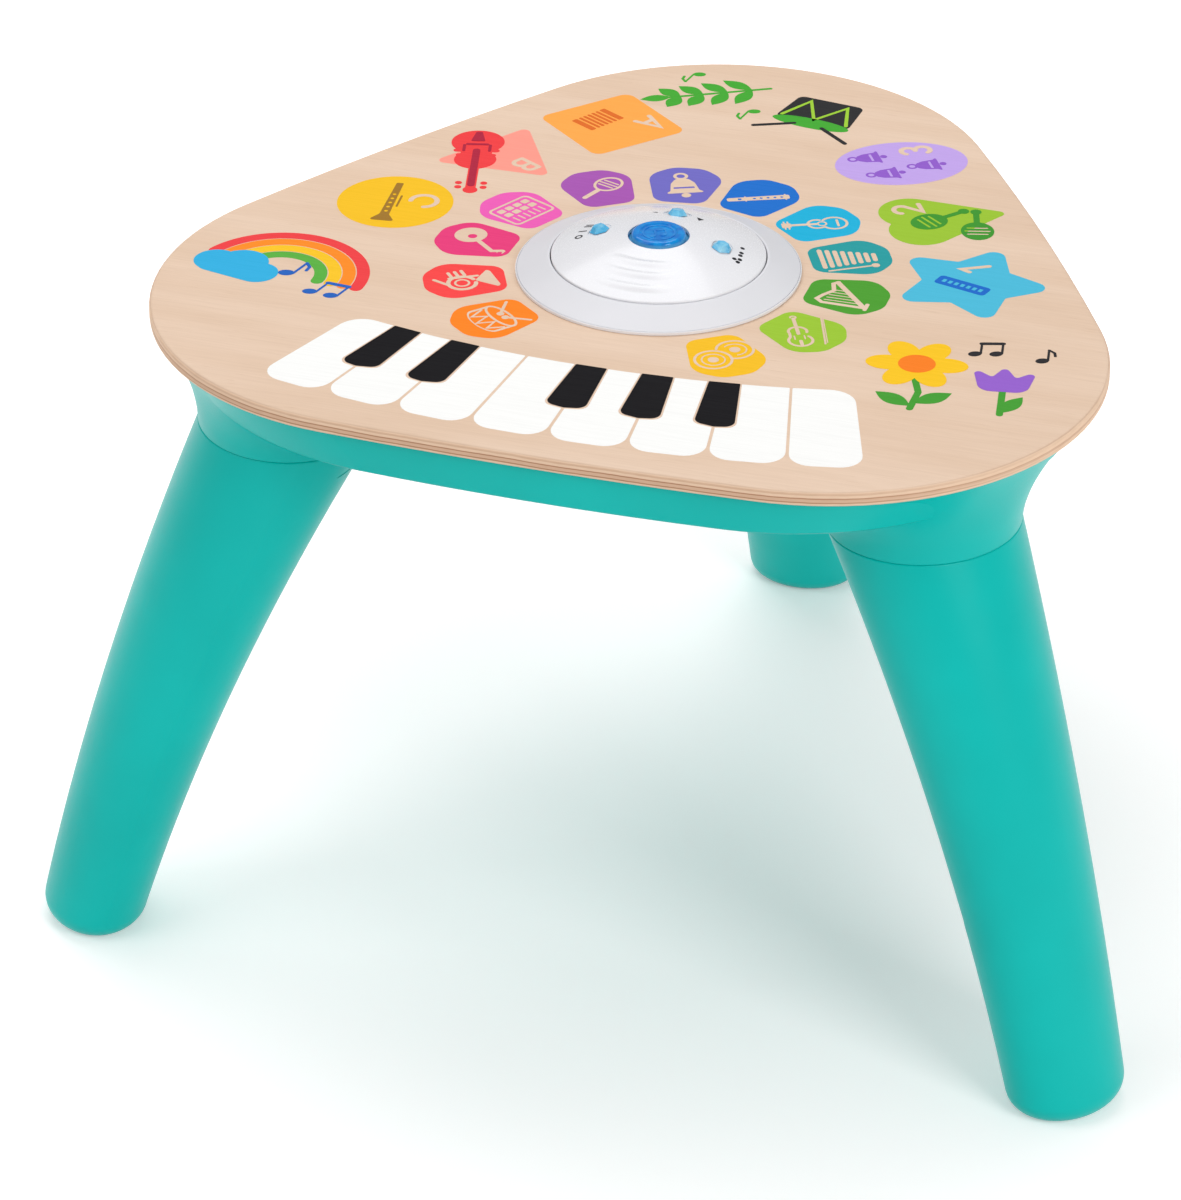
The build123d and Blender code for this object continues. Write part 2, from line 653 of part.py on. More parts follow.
def hub_plate():
    """Clamp plate under the wood with posts for the board."""
    low = UNDERSIDE - PLATE_THICKNESS
    plate = column(Vector(0, 0), PLATE_RADIUS, low, UNDERSIDE)
    post_top = TABLE_HEIGHT + BOARD_TOP - BOARD_THICKNESS
    for place in ring_places(POST_COUNT, POST_REACH):
        plate += column(place, POST_RADIUS, UNDERSIDE, post_top)
        plate -= column(place, SCREW_SHANK + SCREW_GAP, low + PILOT_FLOOR, post_top)
    for place in hub_screw_places():
        plate -= column(place, SCREW_SHANK + SCREW_GAP, low, UNDERSIDE)
    return plate - column(Vector(*WIRE_HOLE_PLACE), WIRE_HOLE_RADIUS, low, UNDERSIDE)


def speaker_basket():
    """Pressed frame with its rim on the floor and a funnel up to the magnet."""
    low = FLOOR_TOP
    rim_in = SPEAKER_RADIUS - SPEAKER_RIM_WIDTH
    return turned(
        (rim_in, low),
        (SPEAKER_RADIUS, low),
        (SPEAKER_RADIUS, low + SPEAKER_FLANGE),
        (rim_in + BASKET_WALL, low + SPEAKER_FLANGE),
        (SPEAKER_NECK_RADIUS, low + BASKET_DEPTH),
        (0, low + BASKET_DEPTH),
        (0, low + BASKET_DEPTH - BASKET_WALL),
        (SPEAKER_NECK_RADIUS - BASKET_WALL, low + BASKET_DEPTH - BASKET_WALL),
        (rim_in, low + SPEAKER_FLANGE - BASKET_STEP),
    )


def speaker_cone():
    """Paper cone and cap inside the basket."""
    low = FLOOR_TOP + CONE_GAP
    rim = SPEAKER_RADIUS - SPEAKER_RIM_WIDTH - CONE_GAP
    deep = low + BASKET_DEPTH - 2 * BASKET_WALL - 2 * CONE_GAP
    return turned(
        (rim - CONE_WALL, low),
        (rim, low),
        (CONE_CAP_RADIUS, deep),
        (CONE_CAP_RADIUS / 2, deep - CONE_CAP_SHOULDER),
        (0, deep - CONE_CAP_TIP),
        (0, deep - CONE_CAP_TIP - CONE_WALL),
        (CONE_CAP_RADIUS / 2, deep - CONE_CAP_SHOULDER - CONE_WALL),
        (CONE_CAP_RADIUS, deep - CONE_WALL),
    )


def speaker_magnet():
    """Magnet and back plate on the basket."""
    low = FLOOR_TOP + BASKET_DEPTH
    magnet = column(Vector(0, 0), MAGNET_RADIUS, low, low + MAGNET_DEPTH)
    return chamfer(magnet.edges().group_by(Axis.Z)[-1], MAGNET_CHAMFER)


def battery_box():
    """Open-bottomed box on the floor over the battery window, with a lock boss at its rear."""
    box = bay_box(BAY_WALL, FLOOR_TOP, BAY_ROOF_Z)
    box += bay_box(BAY_FLANGE, FLOOR_TOP, FLOOR_TOP + BAY_WALL)
    box -= block(BAY_WIDTH, BAY_LENGTH, FLOOR_TOP, BAY_ROOF_Z - BAY_WALL, 0, BAY_CENTRE_Y)
    return box - column(lock_place(), SCREW_SHANK + LOCK_PILOT_GAP, FLOOR_TOP, BAY_ROOF_Z - BAY_WALL)


def lock_place():
    """Axis of the battery door's screw."""
    return Vector(0, BAY_CENTRE_Y + BAY_LENGTH / 2 + BAY_LOCK / 2)


def battery_door():
    """Ribbed door flush with the underside, recessed for its screw."""
    door = bay_box(BAY_WALL - DOOR_GAP, FLOOR_Z, FLOOR_Z + DOOR_THICKNESS)
    length, width, depth = DOOR_RIB
    for k in range(DOOR_RIB_COUNT):
        y = BAY_CENTRE_Y + (k - (DOOR_RIB_COUNT - 1) / 2) * DOOR_RIB_PITCH
        door -= block(length, width, FLOOR_Z, FLOOR_Z + depth, 0, y)
    web_z = FLOOR_Z + DOOR_THICKNESS - DOOR_WEB
    door -= column(lock_place(), SCREW_HEAD + DOOR_HEAD_GAP, FLOOR_Z, web_z)
    return door - column(lock_place(), SCREW_SHANK + SCREW_GAP, FLOOR_Z, FLOOR_TOP)


def door_screw():
    """Screw held in the battery door."""
    head_z = FLOOR_Z + DOOR_THICKNESS - DOOR_WEB
    place = lock_place()
    head = column(place, SCREW_HEAD, FLOOR_Z + DOOR_HEAD_INSET, head_z)
    return head + column(place, SCREW_SHANK, head_z, head_z + DOOR_SCREW_LENGTH)


def cell_places():
    """Middle of each cell across the bay."""
    height = FLOOR_TOP + CELL_REST + CELL_RADIUS
    return [Vector(CELL_PITCH * k, BAY_CENTRE_Y, height) for k in (-1, 0, 1)]


def battery_cells():
    """Three cells lying side by side, turned about in series."""
    cells = []
    for k, place in enumerate(cell_places()):
        cap = Pos(0, 0, CELL_LENGTH / 2) * Cylinder(CELL_CAP_RADIUS, CELL_CAP)
        body = Cylinder(CELL_RADIUS, CELL_LENGTH - CELL_CAP) + cap
        turn = Rot(90, 0, 0) if k % 2 else Rot(-90, 0, 0)
        cells.append(Pos(place) * turn * body)
    return Compound(cells)


def battery_contacts():
    """Spring and flat contact plates at the ends of the bay."""
    contacts = []
    for place in cell_places():
        for way in (-1, 1):
            wall = BAY_CENTRE_Y + way * (BAY_LENGTH / 2 - CONTACT_THICKNESS / 2)
            plate = Box(CONTACT_SIDE, CONTACT_THICKNESS, CONTACT_SIDE)
            contacts.append(Pos(place.X, wall, place.Z) * plate)
    return Compound(contacts)


def frame_screws():
    """Wood screws up through the frame's bosses."""
    head_z = UNDERSIDE - FRAME_BOSS_WEB
    tip_z = UNDERSIDE + FRAME_SCREW_BITE - FRAME_SCREW_TIP_GAP
    return Compound([screw(place, head_z, tip_z) for place in frame_screw_places()])


def hub_screws():
    """Screws up through the clamp plate into the rim's bosses."""
    head_z = UNDERSIDE - PLATE_THICKNESS
    tip_z = TABLE_HEIGHT - HUB_SCREW_TIP_GAP
    return Compound([screw(place, head_z, tip_z) for place in hub_screw_places()])


def board_screws():
    """Screws down through the board into the plate's posts."""
    head_z = TABLE_HEIGHT + BOARD_TOP
    places = ring_places(POST_COUNT, POST_REACH)
    return Compound([screw_down(place, head_z, head_z - BOARD_SCREW_LENGTH) for place in places])


def speaker_screws():
    """Screws whose heads hold the loudspeaker's rim down."""
    head_z = FLOOR_TOP + SPEAKER_FLANGE
    tip_z = FLOOR_TOP - SPEAKER_SCREW_BITE
    return Compound([screw_down(place, head_z, tip_z) for place in speaker_screw_places()])


def lead(points):
    """Round wire along straight runs with rounded bends."""
    path = FilletPolyline(*points, radius=LEAD_BEND)
    return sweep(Plane(origin=path @ 0, z_dir=path % 0) * Circle(LEAD_RADIUS), path=path)


def speaker_leads():
    """Two wires from the loudspeaker's rim up through the clamp plate to the board."""
    low = FLOOR_TOP + SPEAKER_FLANGE
    high = TABLE_HEIGHT + BOARD_TOP - BOARD_THICKNESS
    places = [Vector(*place) for place in SPEAKER_LEAD_PLACES]
    return Compound([column(place, LEAD_RADIUS, low, high) for place in places])


def battery_leads():
    """Two wires from the battery box's side wall to the board."""
    wall = BAY_WIDTH / 2 + BAY_WALL
    high = TABLE_HEIGHT + BOARD_TOP - BOARD_THICKNESS
    wires = []
    for y, turn, end in zip(BATTERY_LEAD_STARTS, BATTERY_LEAD_TURNS, BATTERY_LEAD_ENDS):
        points = [(wall, y), (turn, y), (turn, end[1]), end]
        wires.append(lead([(*point, LEAD_LEVEL) for point in points] + [(*end, high)]))
    return Compound(wires)


def film_tail():
    """Flat cable from the touch film, under the clamp plate and up to the board."""
    high = TABLE_HEIGHT + BOARD_TOP - BOARD_THICKNESS
    level = UNDERSIDE - FILM_THICKNESS - TAIL_DROP
    hole = Vector(*WIRE_HOLE_PLACE)
    reach = hole.length
    run = block(TAIL_START - reach, TAIL_WIDTH, level, level + TAIL_THICKNESS, (TAIL_START + reach) / 2)
    drop = block(TAIL_THICKNESS, TAIL_WIDTH, level, UNDERSIDE - FILM_THICKNESS, TAIL_START)
    rise = block(TAIL_THICKNESS, TAIL_WIDTH, level, high, reach)
    angle = math.degrees(math.atan2(hole.Y, hole.X))
    return Rot(0, 0, angle) * (run + drop + rise)


def main():
    """Build every piece and write one file each, with the origin under the table's middle."""
    one_leg = leg()
    pieces = {
        "wood_top": wood_top(),
        "touch_film": touch_film(),
        "under_frame": under_frame(),
        "hub_rim": hub_rim(),
        "hub_ring": hub_ring(),
        "hub_dome": hub_dome(),
        "play_button": play_button(),
        "main_board": main_board(),
        "switch_cases": switch_cases(),
        "board_leds": board_leds(),
        "sound_chip": sound_chip(),
        "button_pad": button_pad(),
        "hub_plate": hub_plate(),
        "speaker_basket": speaker_basket(),
        "speaker_cone": speaker_cone(),
        "speaker_magnet": speaker_magnet(),
        "battery_box": battery_box(),
        "battery_door": battery_door(),
        "door_screw": door_screw(),
        "battery_cells": battery_cells(),
        "battery_contacts": battery_contacts(),
        "frame_screws": frame_screws(),
        "hub_screws": hub_screws(),
        "board_screws": board_screws(),
        "speaker_screws": speaker_screws(),
        "speaker_leads": speaker_leads(),
        "battery_leads": battery_leads(),
        "film_tail": film_tail(),
    }
    for name, angle in CORNER_ANGLES.items():
        pieces[f"leg_{name}"] = at_corner(angle, one_leg)
    for name, angle in SLIDER_ANGLES.items():
        pieces[f"{name}_slider"] = slider(angle)
    front = pieces["wood_top"].bounding_box().min.Y
    back = pieces["leg_rear"].bounding_box().max.Y
    centre = Pos(0, -(front + back) / 2, 0)
    os.makedirs("parts", exist_ok=True)
    for name, shape in pieces.items():
        export_step(centre * shape, f"parts/{name}.step")


main()
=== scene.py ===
import json
import math

import bmesh
import bpy
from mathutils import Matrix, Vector
from mathutils.geometry import tessellate_polygon


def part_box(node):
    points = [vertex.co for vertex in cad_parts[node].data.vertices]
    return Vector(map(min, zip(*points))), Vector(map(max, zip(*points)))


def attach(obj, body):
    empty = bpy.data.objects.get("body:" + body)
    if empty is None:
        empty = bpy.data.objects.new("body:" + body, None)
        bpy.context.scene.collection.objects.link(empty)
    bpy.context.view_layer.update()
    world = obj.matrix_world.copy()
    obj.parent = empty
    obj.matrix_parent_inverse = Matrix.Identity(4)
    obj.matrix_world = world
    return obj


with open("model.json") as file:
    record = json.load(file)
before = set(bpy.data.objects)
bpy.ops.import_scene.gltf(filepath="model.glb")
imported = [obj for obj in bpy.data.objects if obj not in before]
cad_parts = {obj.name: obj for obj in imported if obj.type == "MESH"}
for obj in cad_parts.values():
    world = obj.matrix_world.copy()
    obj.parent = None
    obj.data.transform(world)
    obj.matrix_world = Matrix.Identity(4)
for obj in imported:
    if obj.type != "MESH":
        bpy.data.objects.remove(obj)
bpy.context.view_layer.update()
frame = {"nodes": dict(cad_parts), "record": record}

# Looks of a toddler music table: printed plywood, satin moulded plastic and a glossy sound hub.
# Print layouts are in millimetres from the hub's axis, X to the right and Y to the rear.

MM = 0.001
DOME_LOW, DOME_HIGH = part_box("hub_dome")
WOOD_LOW, WOOD_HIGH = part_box("wood_top")
HUB_X = (DOME_LOW[0] + DOME_HIGH[0]) / 2
HUB_Y = (DOME_LOW[1] + DOME_HIGH[1]) / 2
TOP_Z = WOOD_HIGH[2]
INK_STEP = 0.07 * MM
INK_ROOT = 0.15 * MM
SHAPE_STEP = 0.02 * INK_STEP


# Shader nodes

def linear(red, green, blue):
    """Scene colour of an 8-bit display colour."""
    def channel(value):
        value /= 255
        return value / 12.92 if value <= 0.04045 else ((value + 0.055) / 1.055) ** 2.4
    return (channel(red), channel(green), channel(blue), 1.0)


def shade(colour, amount):
    """A colour made darker or lighter by a factor."""
    return tuple(min(1.0, c * amount) for c in colour[:3]) + (1.0,)


def new_material(name):
    """Empty material with its shader and output linked."""
    material = bpy.data.materials.new(name)
    material.use_nodes = True
    tree = material.node_tree
    tree.nodes.clear()
    shader = tree.nodes.new("ShaderNodeBsdfPrincipled")
    output = tree.nodes.new("ShaderNodeOutputMaterial")
    tree.links.new(shader.outputs["BSDF"], output.inputs["Surface"])
    return material, tree, shader


def add(tree, kind, inputs=None, **settings):
    """A node with its settings and its input values or links."""
    made = tree.nodes.new(kind)
    for key, value in settings.items():
        setattr(made, key, value)
    for key, value in (inputs or {}).items():
        if isinstance(value, bpy.types.NodeSocket):
            tree.links.new(value, made.inputs[key])
        else:
            made.inputs[key].default_value = value
    return made


def noise(tree, stretch, scale, detail=3.0, roughness=0.55):
    """Noise over the part's frame, stretched by an amount along each axis."""
    coords = add(tree, "ShaderNodeTexCoord").outputs["Object"]
    mapped = add(tree, "ShaderNodeMapping", {"Vector": coords, "Scale": stretch}).outputs["Vector"]
    made = add(tree, "ShaderNodeTexNoise",
               {"Vector": mapped, "Scale": scale, "Detail": detail, "Roughness": roughness})
    return made.outputs["Fac"]


def ramp(tree, factor, stops, smooth=False):
    """Colour ramp through (place, colour) stops."""
    made = add(tree, "ShaderNodeValToRGB", {"Fac": factor})
    made.color_ramp.interpolation = "EASE" if smooth else "LINEAR"
    points = made.color_ramp.elements
    while len(points) < len(stops):
        points.new(1.0)
    for point, (place, colour) in zip(points, stops):
        point.position = place
        point.color = colour
    return made.outputs["Color"]


def spread(tree, value, low, high, new_low, new_high):
    """A value range mapped to another, clamped."""
    return add(tree, "ShaderNodeMapRange", {
        "Value": value, "From Min": low, "From Max": high, "To Min": new_low, "To Max": new_high,
    }).outputs["Result"]


def maths(tree, operation, *values):
    """Result of one maths node on values or links."""
    return add(tree, "ShaderNodeMath", dict(enumerate(values)), operation=operation).outputs[0]


def mixed(tree, factor, first, second, blend="MIX"):
    """Two colours mixed by a factor."""
    made = tree.nodes.new("ShaderNodeMix")
    made.data_type = "RGBA"
    made.blend_type = blend
    for index, value in ((0, factor), (6, first), (7, second)):
        if isinstance(value, bpy.types.NodeSocket):
            tree.links.new(value, made.inputs[index])
        else:
            made.inputs[index].default_value = value
    return made.outputs[2]


def bump(tree, shader, height, strength, distance):
    """Fine relief on a shader from a height value."""
    made = add(tree, "ShaderNodeBump", {"Height": height, "Strength": strength, "Distance": distance})
    tree.links.new(made.outputs["Normal"], shader.inputs["Normal"])


# Materials

BIRCH_LIGHT = linear(233, 206, 183)
BIRCH_DARK = linear(227, 198, 173)
BIRCH_FLECK = linear(208, 174, 144)
PLY_LIGHT = linear(240, 209, 180)
PLY_MIDDLE = linear(220, 184, 155)
PLY_DARK = linear(184, 138, 108)
FIBRE_SHADE = (0.9, 0.88, 0.86, 1.0)
PURE_WHITE = (1.0, 1.0, 1.0, 1.0)
EVEN = (1.0, 1.0, 1.0)
FIBRE_STRETCH = (9.0, 260.0, 260.0)
FIGURE_STRETCH = (2.2, 15.0, 15.0)
FLECK_STRETCH = (55.0, 900.0, 900.0)
STREAK_STRETCH = (120.0, 120.0, 700.0)
WOBBLE_STRETCH = (30.0, 30.0, 30.0)
SCRATCH_STRETCH = (40.0, 900.0, 900.0)


def wood_fibre(tree):
    """Fine wood fibres along X."""
    return noise(tree, FIBRE_STRETCH, 3.0, 5.0, 0.65)


def birch_face(tree):
    """Face veneer: broad figure, fine fibres along X and short darker flecks."""
    figure = noise(tree, FIGURE_STRETCH, 2.0, 4.0)
    fibre = wood_fibre(tree)
    fleck = noise(tree, FLECK_STRETCH, 1.0, 2.0)
    colour = ramp(tree, figure, ((0.3, BIRCH_DARK), (0.7, BIRCH_LIGHT)), True)
    fibre_tone = ramp(tree, fibre, ((0.3, FIBRE_SHADE), (0.62, PURE_WHITE)))
    colour = mixed(tree, 0.55, colour, fibre_tone, "MULTIPLY")
    return mixed(tree, spread(tree, fleck, 0.66, 0.74, 0.0, 0.35), colour, BIRCH_FLECK), fibre


def ply_edge(tree):
    """Layers seen on the panel's edge, with end grain on alternate plies by direction."""
    coords = add(tree, "ShaderNodeTexCoord").outputs["Object"]
    height = add(tree, "ShaderNodeSeparateXYZ", {"Vector": coords}).outputs["Z"]
    wobble = noise(tree, WOBBLE_STRETCH, 1.0)
    level = spread(tree, height, WOOD_LOW[2], WOOD_HIGH[2], 0.0, 1.0)
    level = maths(tree, "ADD", level, spread(tree, wobble, 0.0, 1.0, -0.06, 0.06))
    even = ((0.0, PLY_LIGHT), (0.22, PLY_LIGHT), (0.26, PLY_DARK), (0.3, PLY_DARK), (0.34, PLY_MIDDLE),
            (0.5, PLY_MIDDLE), (0.53, PLY_DARK), (0.57, PLY_DARK), (0.61, PLY_LIGHT), (0.74, PLY_LIGHT),
            (0.77, PLY_MIDDLE), (0.86, PLY_MIDDLE), (0.9, PLY_LIGHT), (1.0, PLY_LIGHT))
    odd = ((0.0, PLY_MIDDLE), (0.2, PLY_LIGHT), (0.4, PLY_LIGHT), (0.44, PLY_MIDDLE), (0.56, PLY_MIDDLE),
           (0.6, PLY_LIGHT), (0.9, PLY_LIGHT), (0.95, PLY_DARK), (1.0, PLY_DARK))
    normal = add(tree, "ShaderNodeNewGeometry").outputs["Normal"]
    way = add(tree, "ShaderNodeSeparateXYZ", {"Vector": normal})
    facing_y = maths(tree, "MULTIPLY", way.outputs["Y"], way.outputs["Y"])
    layers = mixed(tree, facing_y, ramp(tree, level, odd), ramp(tree, level, even))
    streak = noise(tree, STREAK_STRETCH, 1.0, 3.0)
    streak_tone = ramp(tree, streak, ((0.3, FIBRE_SHADE), (0.65, PURE_WHITE)))
    layers = mixed(tree, 0.6, layers, streak_tone, "MULTIPLY")
    upright = maths(tree, "ABSOLUTE", way.outputs["Z"])
    return layers, spread(tree, upright, 0.55, 0.9, 1.0, 0.0)


def plywood():
    """Clear-sealed birch plywood with its layers showing on the edge."""
    material, tree, shader = new_material("birch_plywood")
    face, fibre = birch_face(tree)
    layers, edge = ply_edge(tree)
    tree.links.new(mixed(tree, edge, face, layers), shader.inputs["Base Color"])
    tree.links.new(spread(tree, fibre, 0.3, 0.7, 0.62, 0.5), shader.inputs["Roughness"])
    shader.inputs["Specular IOR Level"].default_value = 0.12
    bump(tree, shader, fibre, 0.12, 0.0003)
    return material


def moulded(name, colour, roughness, grain=0.1, coat=0.0, sheen=0.5):
    """Moulded plastic: slight tone drift, fine spark-textured skin and uneven gloss."""
    material, tree, shader = new_material(name)
    drift = noise(tree, EVEN, 9.0, 3.0)
    skin = noise(tree, EVEN, 1500.0, 2.0)
    tone = ramp(tree, drift, ((0.3, shade(colour, 0.95)), (0.7, shade(colour, 1.04))), True)
    tree.links.new(tone, shader.inputs["Base Color"])
    gloss = spread(tree, skin, 0.3, 0.7, roughness - 0.05, roughness + 0.05)
    tree.links.new(gloss, shader.inputs["Roughness"])
    shader.inputs["Specular IOR Level"].default_value = sheen
    shader.inputs["Coat Weight"].default_value = coat
    shader.inputs["Coat Roughness"].default_value = 0.08
    bump(tree, shader, skin, grain, 0.0002)
    return material


def tinted(name, colour, glow, rim=None):
    """Tinted clear plastic: glossy, with random paler patches painted in as light gathering inside, and a
    paler band painted below a rim's height as light through the clear wall.
    """
    material, tree, shader = new_material(name)
    # Paler patches at random: painted light, standing in for light gathering inside the clear plastic.
    gathered_light = noise(tree, EVEN, 160.0, 3.0)
    tone = ramp(tree, gathered_light, ((0.35, colour), (0.68, glow)), True)
    # Paler band below the rim's height: painted light, standing in for light passing through the clear wall.
    if rim:
        coords = add(tree, "ShaderNodeTexCoord").outputs["Object"]
        height = add(tree, "ShaderNodeSeparateXYZ", {"Vector": coords}).outputs["Z"]
        low, high, pale = rim
        tone = mixed(tree, spread(tree, height, low, high, 0.75, 0.0), tone, pale)
    tree.links.new(tone, shader.inputs["Base Color"])
    shader.inputs["Roughness"].default_value = 0.12
    shader.inputs["Specular IOR Level"].default_value = 0.25
    shader.inputs["IOR"].default_value = 1.49
    shader.inputs["Transmission Weight"].default_value = 0.12
    shader.inputs["Coat Weight"].default_value = 0.12
    shader.inputs["Coat Roughness"].default_value = 0.05
    return material


def ink(name, colour, roughness=0.55, sheen=0.14):
    """Printed ink on wood, with the fibres just showing through."""
    material, tree, shader = new_material(name)
    fibre = wood_fibre(tree)
    tone = ramp(tree, fibre, ((0.3, shade(colour, 0.95)), (0.62, colour)))
    tree.links.new(tone, shader.inputs["Base Color"])
    gloss = spread(tree, fibre, 0.3, 0.7, roughness + 0.06, roughness - 0.06)
    tree.links.new(gloss, shader.inputs["Roughness"])
    shader.inputs["Specular IOR Level"].default_value = sheen
    bump(tree, shader, fibre, 0.06, 0.0002)
    return material


def metal(name, colour, roughness):
    """Plated metal with fine scratches."""
    material, tree, shader = new_material(name)
    scratch = noise(tree, SCRATCH_STRETCH, 1.0, 3.0)
    tone = ramp(tree, scratch, ((0.3, shade(colour, 0.85)), (0.7, colour)))
    tree.links.new(tone, shader.inputs["Base Color"])
    shader.inputs["Metallic"].default_value = 1.0
    tree.links.new(spread(tree, scratch, 0.3, 0.7, roughness, roughness + 0.15), shader.inputs["Roughness"])
    return material


WOOD = plywood()
TEAL = moulded("teal_plastic", linear(0, 194, 186), 0.34, 0.06, 0.0, 0.17)
WHITE = moulded("white_plastic", linear(232, 232, 236), 0.25, 0.02, 0.2, 0.4)
GREY = moulded("grey_diffuser", linear(220, 220, 225), 0.45, 0.05)
BUTTON_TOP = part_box("play_button")[1][2]
# Band low on the button's side painted paler, as light through the clear wall rather than the plastic's own
# colour.
BUTTON_RIM = (BUTTON_TOP - 2.4 * MM, BUTTON_TOP - 1.0 * MM, linear(120, 204, 244))
BLUE = tinted("blue_clear_plastic", linear(0, 122, 216), linear(0, 156, 238), BUTTON_RIM)
PALE_BLUE = tinted("pale_blue_clear_plastic", linear(70, 186, 238), linear(150, 222, 250))
STEEL = metal("plated_steel", linear(190, 192, 196), 0.3)
CAD_FINISHES = {
    "plywood": WOOD,
    "teal": TEAL,
    "white": WHITE,
    "light_grey": GREY,
    "blue_clear": BLUE,
    "pale_blue": PALE_BLUE,
    "film": moulded("sensor_film", linear(214, 190, 120), 0.35),
    "board": moulded("solder_mask", linear(24, 104, 58), 0.35),
    "led": tinted("led_lens", linear(240, 238, 215), linear(255, 252, 235)),
    "black": moulded("black_plastic", linear(34, 34, 37), 0.45),
    "rubber": moulded("grey_silicone", linear(130, 130, 134), 0.6),
    "steel": STEEL,
    "paper": moulded("pressed_paper", linear(46, 44, 42), 0.85, 0.4),
    "iron": metal("dull_iron", linear(90, 91, 94), 0.5),
    "cell": metal("cell_sleeve", linear(120, 122, 128), 0.35),
    "lead": moulded("wire_insulation", linear(180, 40, 38), 0.5),
}


def dress_frame():
    """Every carried-over part takes the finish of its slot."""
    for part in frame["record"]["subparts"]:
        for slot in frame["nodes"][part["node"]].material_slots:
            slot.material = CAD_FINISHES[part["material_slot"]]


# Flat outlines, as lists of (x, y) points in millimetres

SAME_POINT = 1e-9
STRAIGHT = 0.01
MITRE_LEAST = 0.5


def turned(points, x, y, tilt):
    """Points turned by an angle in degrees and moved to (x, y)."""
    a = math.radians(tilt)
    cos, sin = math.cos(a), math.sin(a)
    return [(x + u * cos - v * sin, y + u * sin + v * cos) for u, v in points]


def arc(x, y, radius, start, end, count=24):
    """Points along an arc, angles in degrees."""
    angles = [math.radians(start + (end - start) * k / count) for k in range(count + 1)]
    return [(x + radius * math.cos(a), y + radius * math.sin(a)) for a in angles]


def oval(x, y, across, along=None, tilt=0.0, count=48):
    """Closed ellipse."""
    along = across if along is None else along
    angles = [2 * math.pi * k / count for k in range(count)]
    return turned([(across * math.cos(a), along * math.sin(a)) for a in angles], x, y, tilt)


def hoop(x, y, radius, width):
    """Ring as an outer and an inner loop."""
    return [oval(x, y, radius + width / 2), oval(x, y, radius - width / 2)]


def eased(points, radii, count=7):
    """Closed polygon whose corners are rounded by a radius, or one radius each."""
    if not isinstance(radii, (list, tuple)):
        radii = [radii] * len(points)
    loop = []
    for k, radius in enumerate(radii):
        corner = Vector(points[k])
        before = (Vector(points[k - 1]) - corner).normalized()
        after = (Vector(points[(k + 1) % len(points)]) - corner).normalized()
        half = before.angle(after) / 2
        if radius <= 0 or math.pi / 2 - half < STRAIGHT:
            loop.append(tuple(corner))
            continue
        centre = corner + (before + after).normalized() * (radius / math.sin(half))
        first = corner + before * (radius / math.tan(half)) - centre
        last = corner + after * (radius / math.tan(half)) - centre
        sweep = first.angle_signed(last)
        for step in range(count + 1):
            turn = -sweep * step / count
            cos, sin = math.cos(turn), math.sin(turn)
            loop.append((centre.x + first.x * cos - first.y * sin, centre.y + first.x * sin + first.y * cos))
    return loop


def plate(left, low, right, high, ease, count=7):
    """Rectangle with rounded corners."""
    return eased([(left, low), (right, low), (right, high), (left, high)], ease, count)


def stroke(points, width, count=6):
    """Outline of a pen line with round ends."""
    spots = [Vector(p) for p in points]
    half = width / 2
    left, right = [], []
    for k, spot in enumerate(spots):
        ahead = spots[min(k + 1, len(spots) - 1)] - spot
        behind = spot - spots[max(k - 1, 0)]
        ways = [w.normalized() for w in (behind, ahead) if w.length > SAME_POINT]
        way = sum(ways, Vector((0, 0))).normalized()
        side = Vector((-way.y, way.x))
        reach = half / max(MITRE_LEAST, side.dot(Vector((-ways[0].y, ways[0].x))))
        left.append(spot + side * reach)
        right.append(spot - side * reach)
    heading = math.degrees(math.atan2(*(spots[-1] - spots[-2]).yx))
    tail = math.degrees(math.atan2(*(spots[0] - spots[1]).yx))
    front = arc(spots[-1].x, spots[-1].y, half, heading + 90, heading - 90, count)
    back = arc(spots[0].x, spots[0].y, half, tail + 90, tail - 90, count)
    return [tuple(p) for p in left[:-1]] + front + [tuple(p) for p in reversed(right[1:-1])] + back[:-1]


def star(points, outer, inner, ease):
    """Star with one point up."""
    corners = []
    for k in range(2 * points):
        radius = inner if k % 2 else outer
        a = math.pi / 2 + math.pi * k / points
        corners.append((radius * math.cos(a), radius * math.sin(a)))
    return eased(corners, [ease if k % 2 == 0 else ease / 3 for k in range(2 * points)])


def heart(half, drop, ease=3.0, fullness=0.62):
    """Heart with its point down: two round lobes and straight sides to an eased tip."""
    lobe = fullness * half
    side = half - lobe
    lean = math.atan2(drop, side) - math.asin(lobe / math.hypot(side, drop))
    slope = math.degrees(lean) - 90
    right = arc(side, 0, lobe, math.degrees(math.acos(-side / lobe)), slope)
    tip = arc(0, ease / math.cos(lean) - drop, ease, slope, -180 - slope, 8)
    return right + tip + [(-x, y) for x, y in reversed(right)][:-1]


def petal(x, y, length, width, tilt, count=12):
    """Leaf shape with a point at each end, growing from (x, y)."""
    shares = [k / count for k in range(count)]
    edge = [(t, 1) for t in shares] + [(1 - t, -1) for t in shares]
    return turned([(length * t, side * width / 2 * math.sin(math.pi * t)) for t, side in edge], x, y, tilt)


# Printed pieces

TINY_AREA = 1e-15


def as_drawn(point):
    """Leaves an outline where it is drawn."""
    return point


def stamp(x, y, up, scale=1.0):
    """Places local outlines on the top: local Y points along an angle in plan."""
    a = math.radians(up)
    up_way, right_way = (math.cos(a), math.sin(a)), (math.sin(a), -math.cos(a))

    def to_plan(point):
        u, v = point[0] * scale, point[1] * scale
        return (x + u * right_way[0] + v * up_way[0], y + u * right_way[1] + v * up_way[1])
    return to_plan


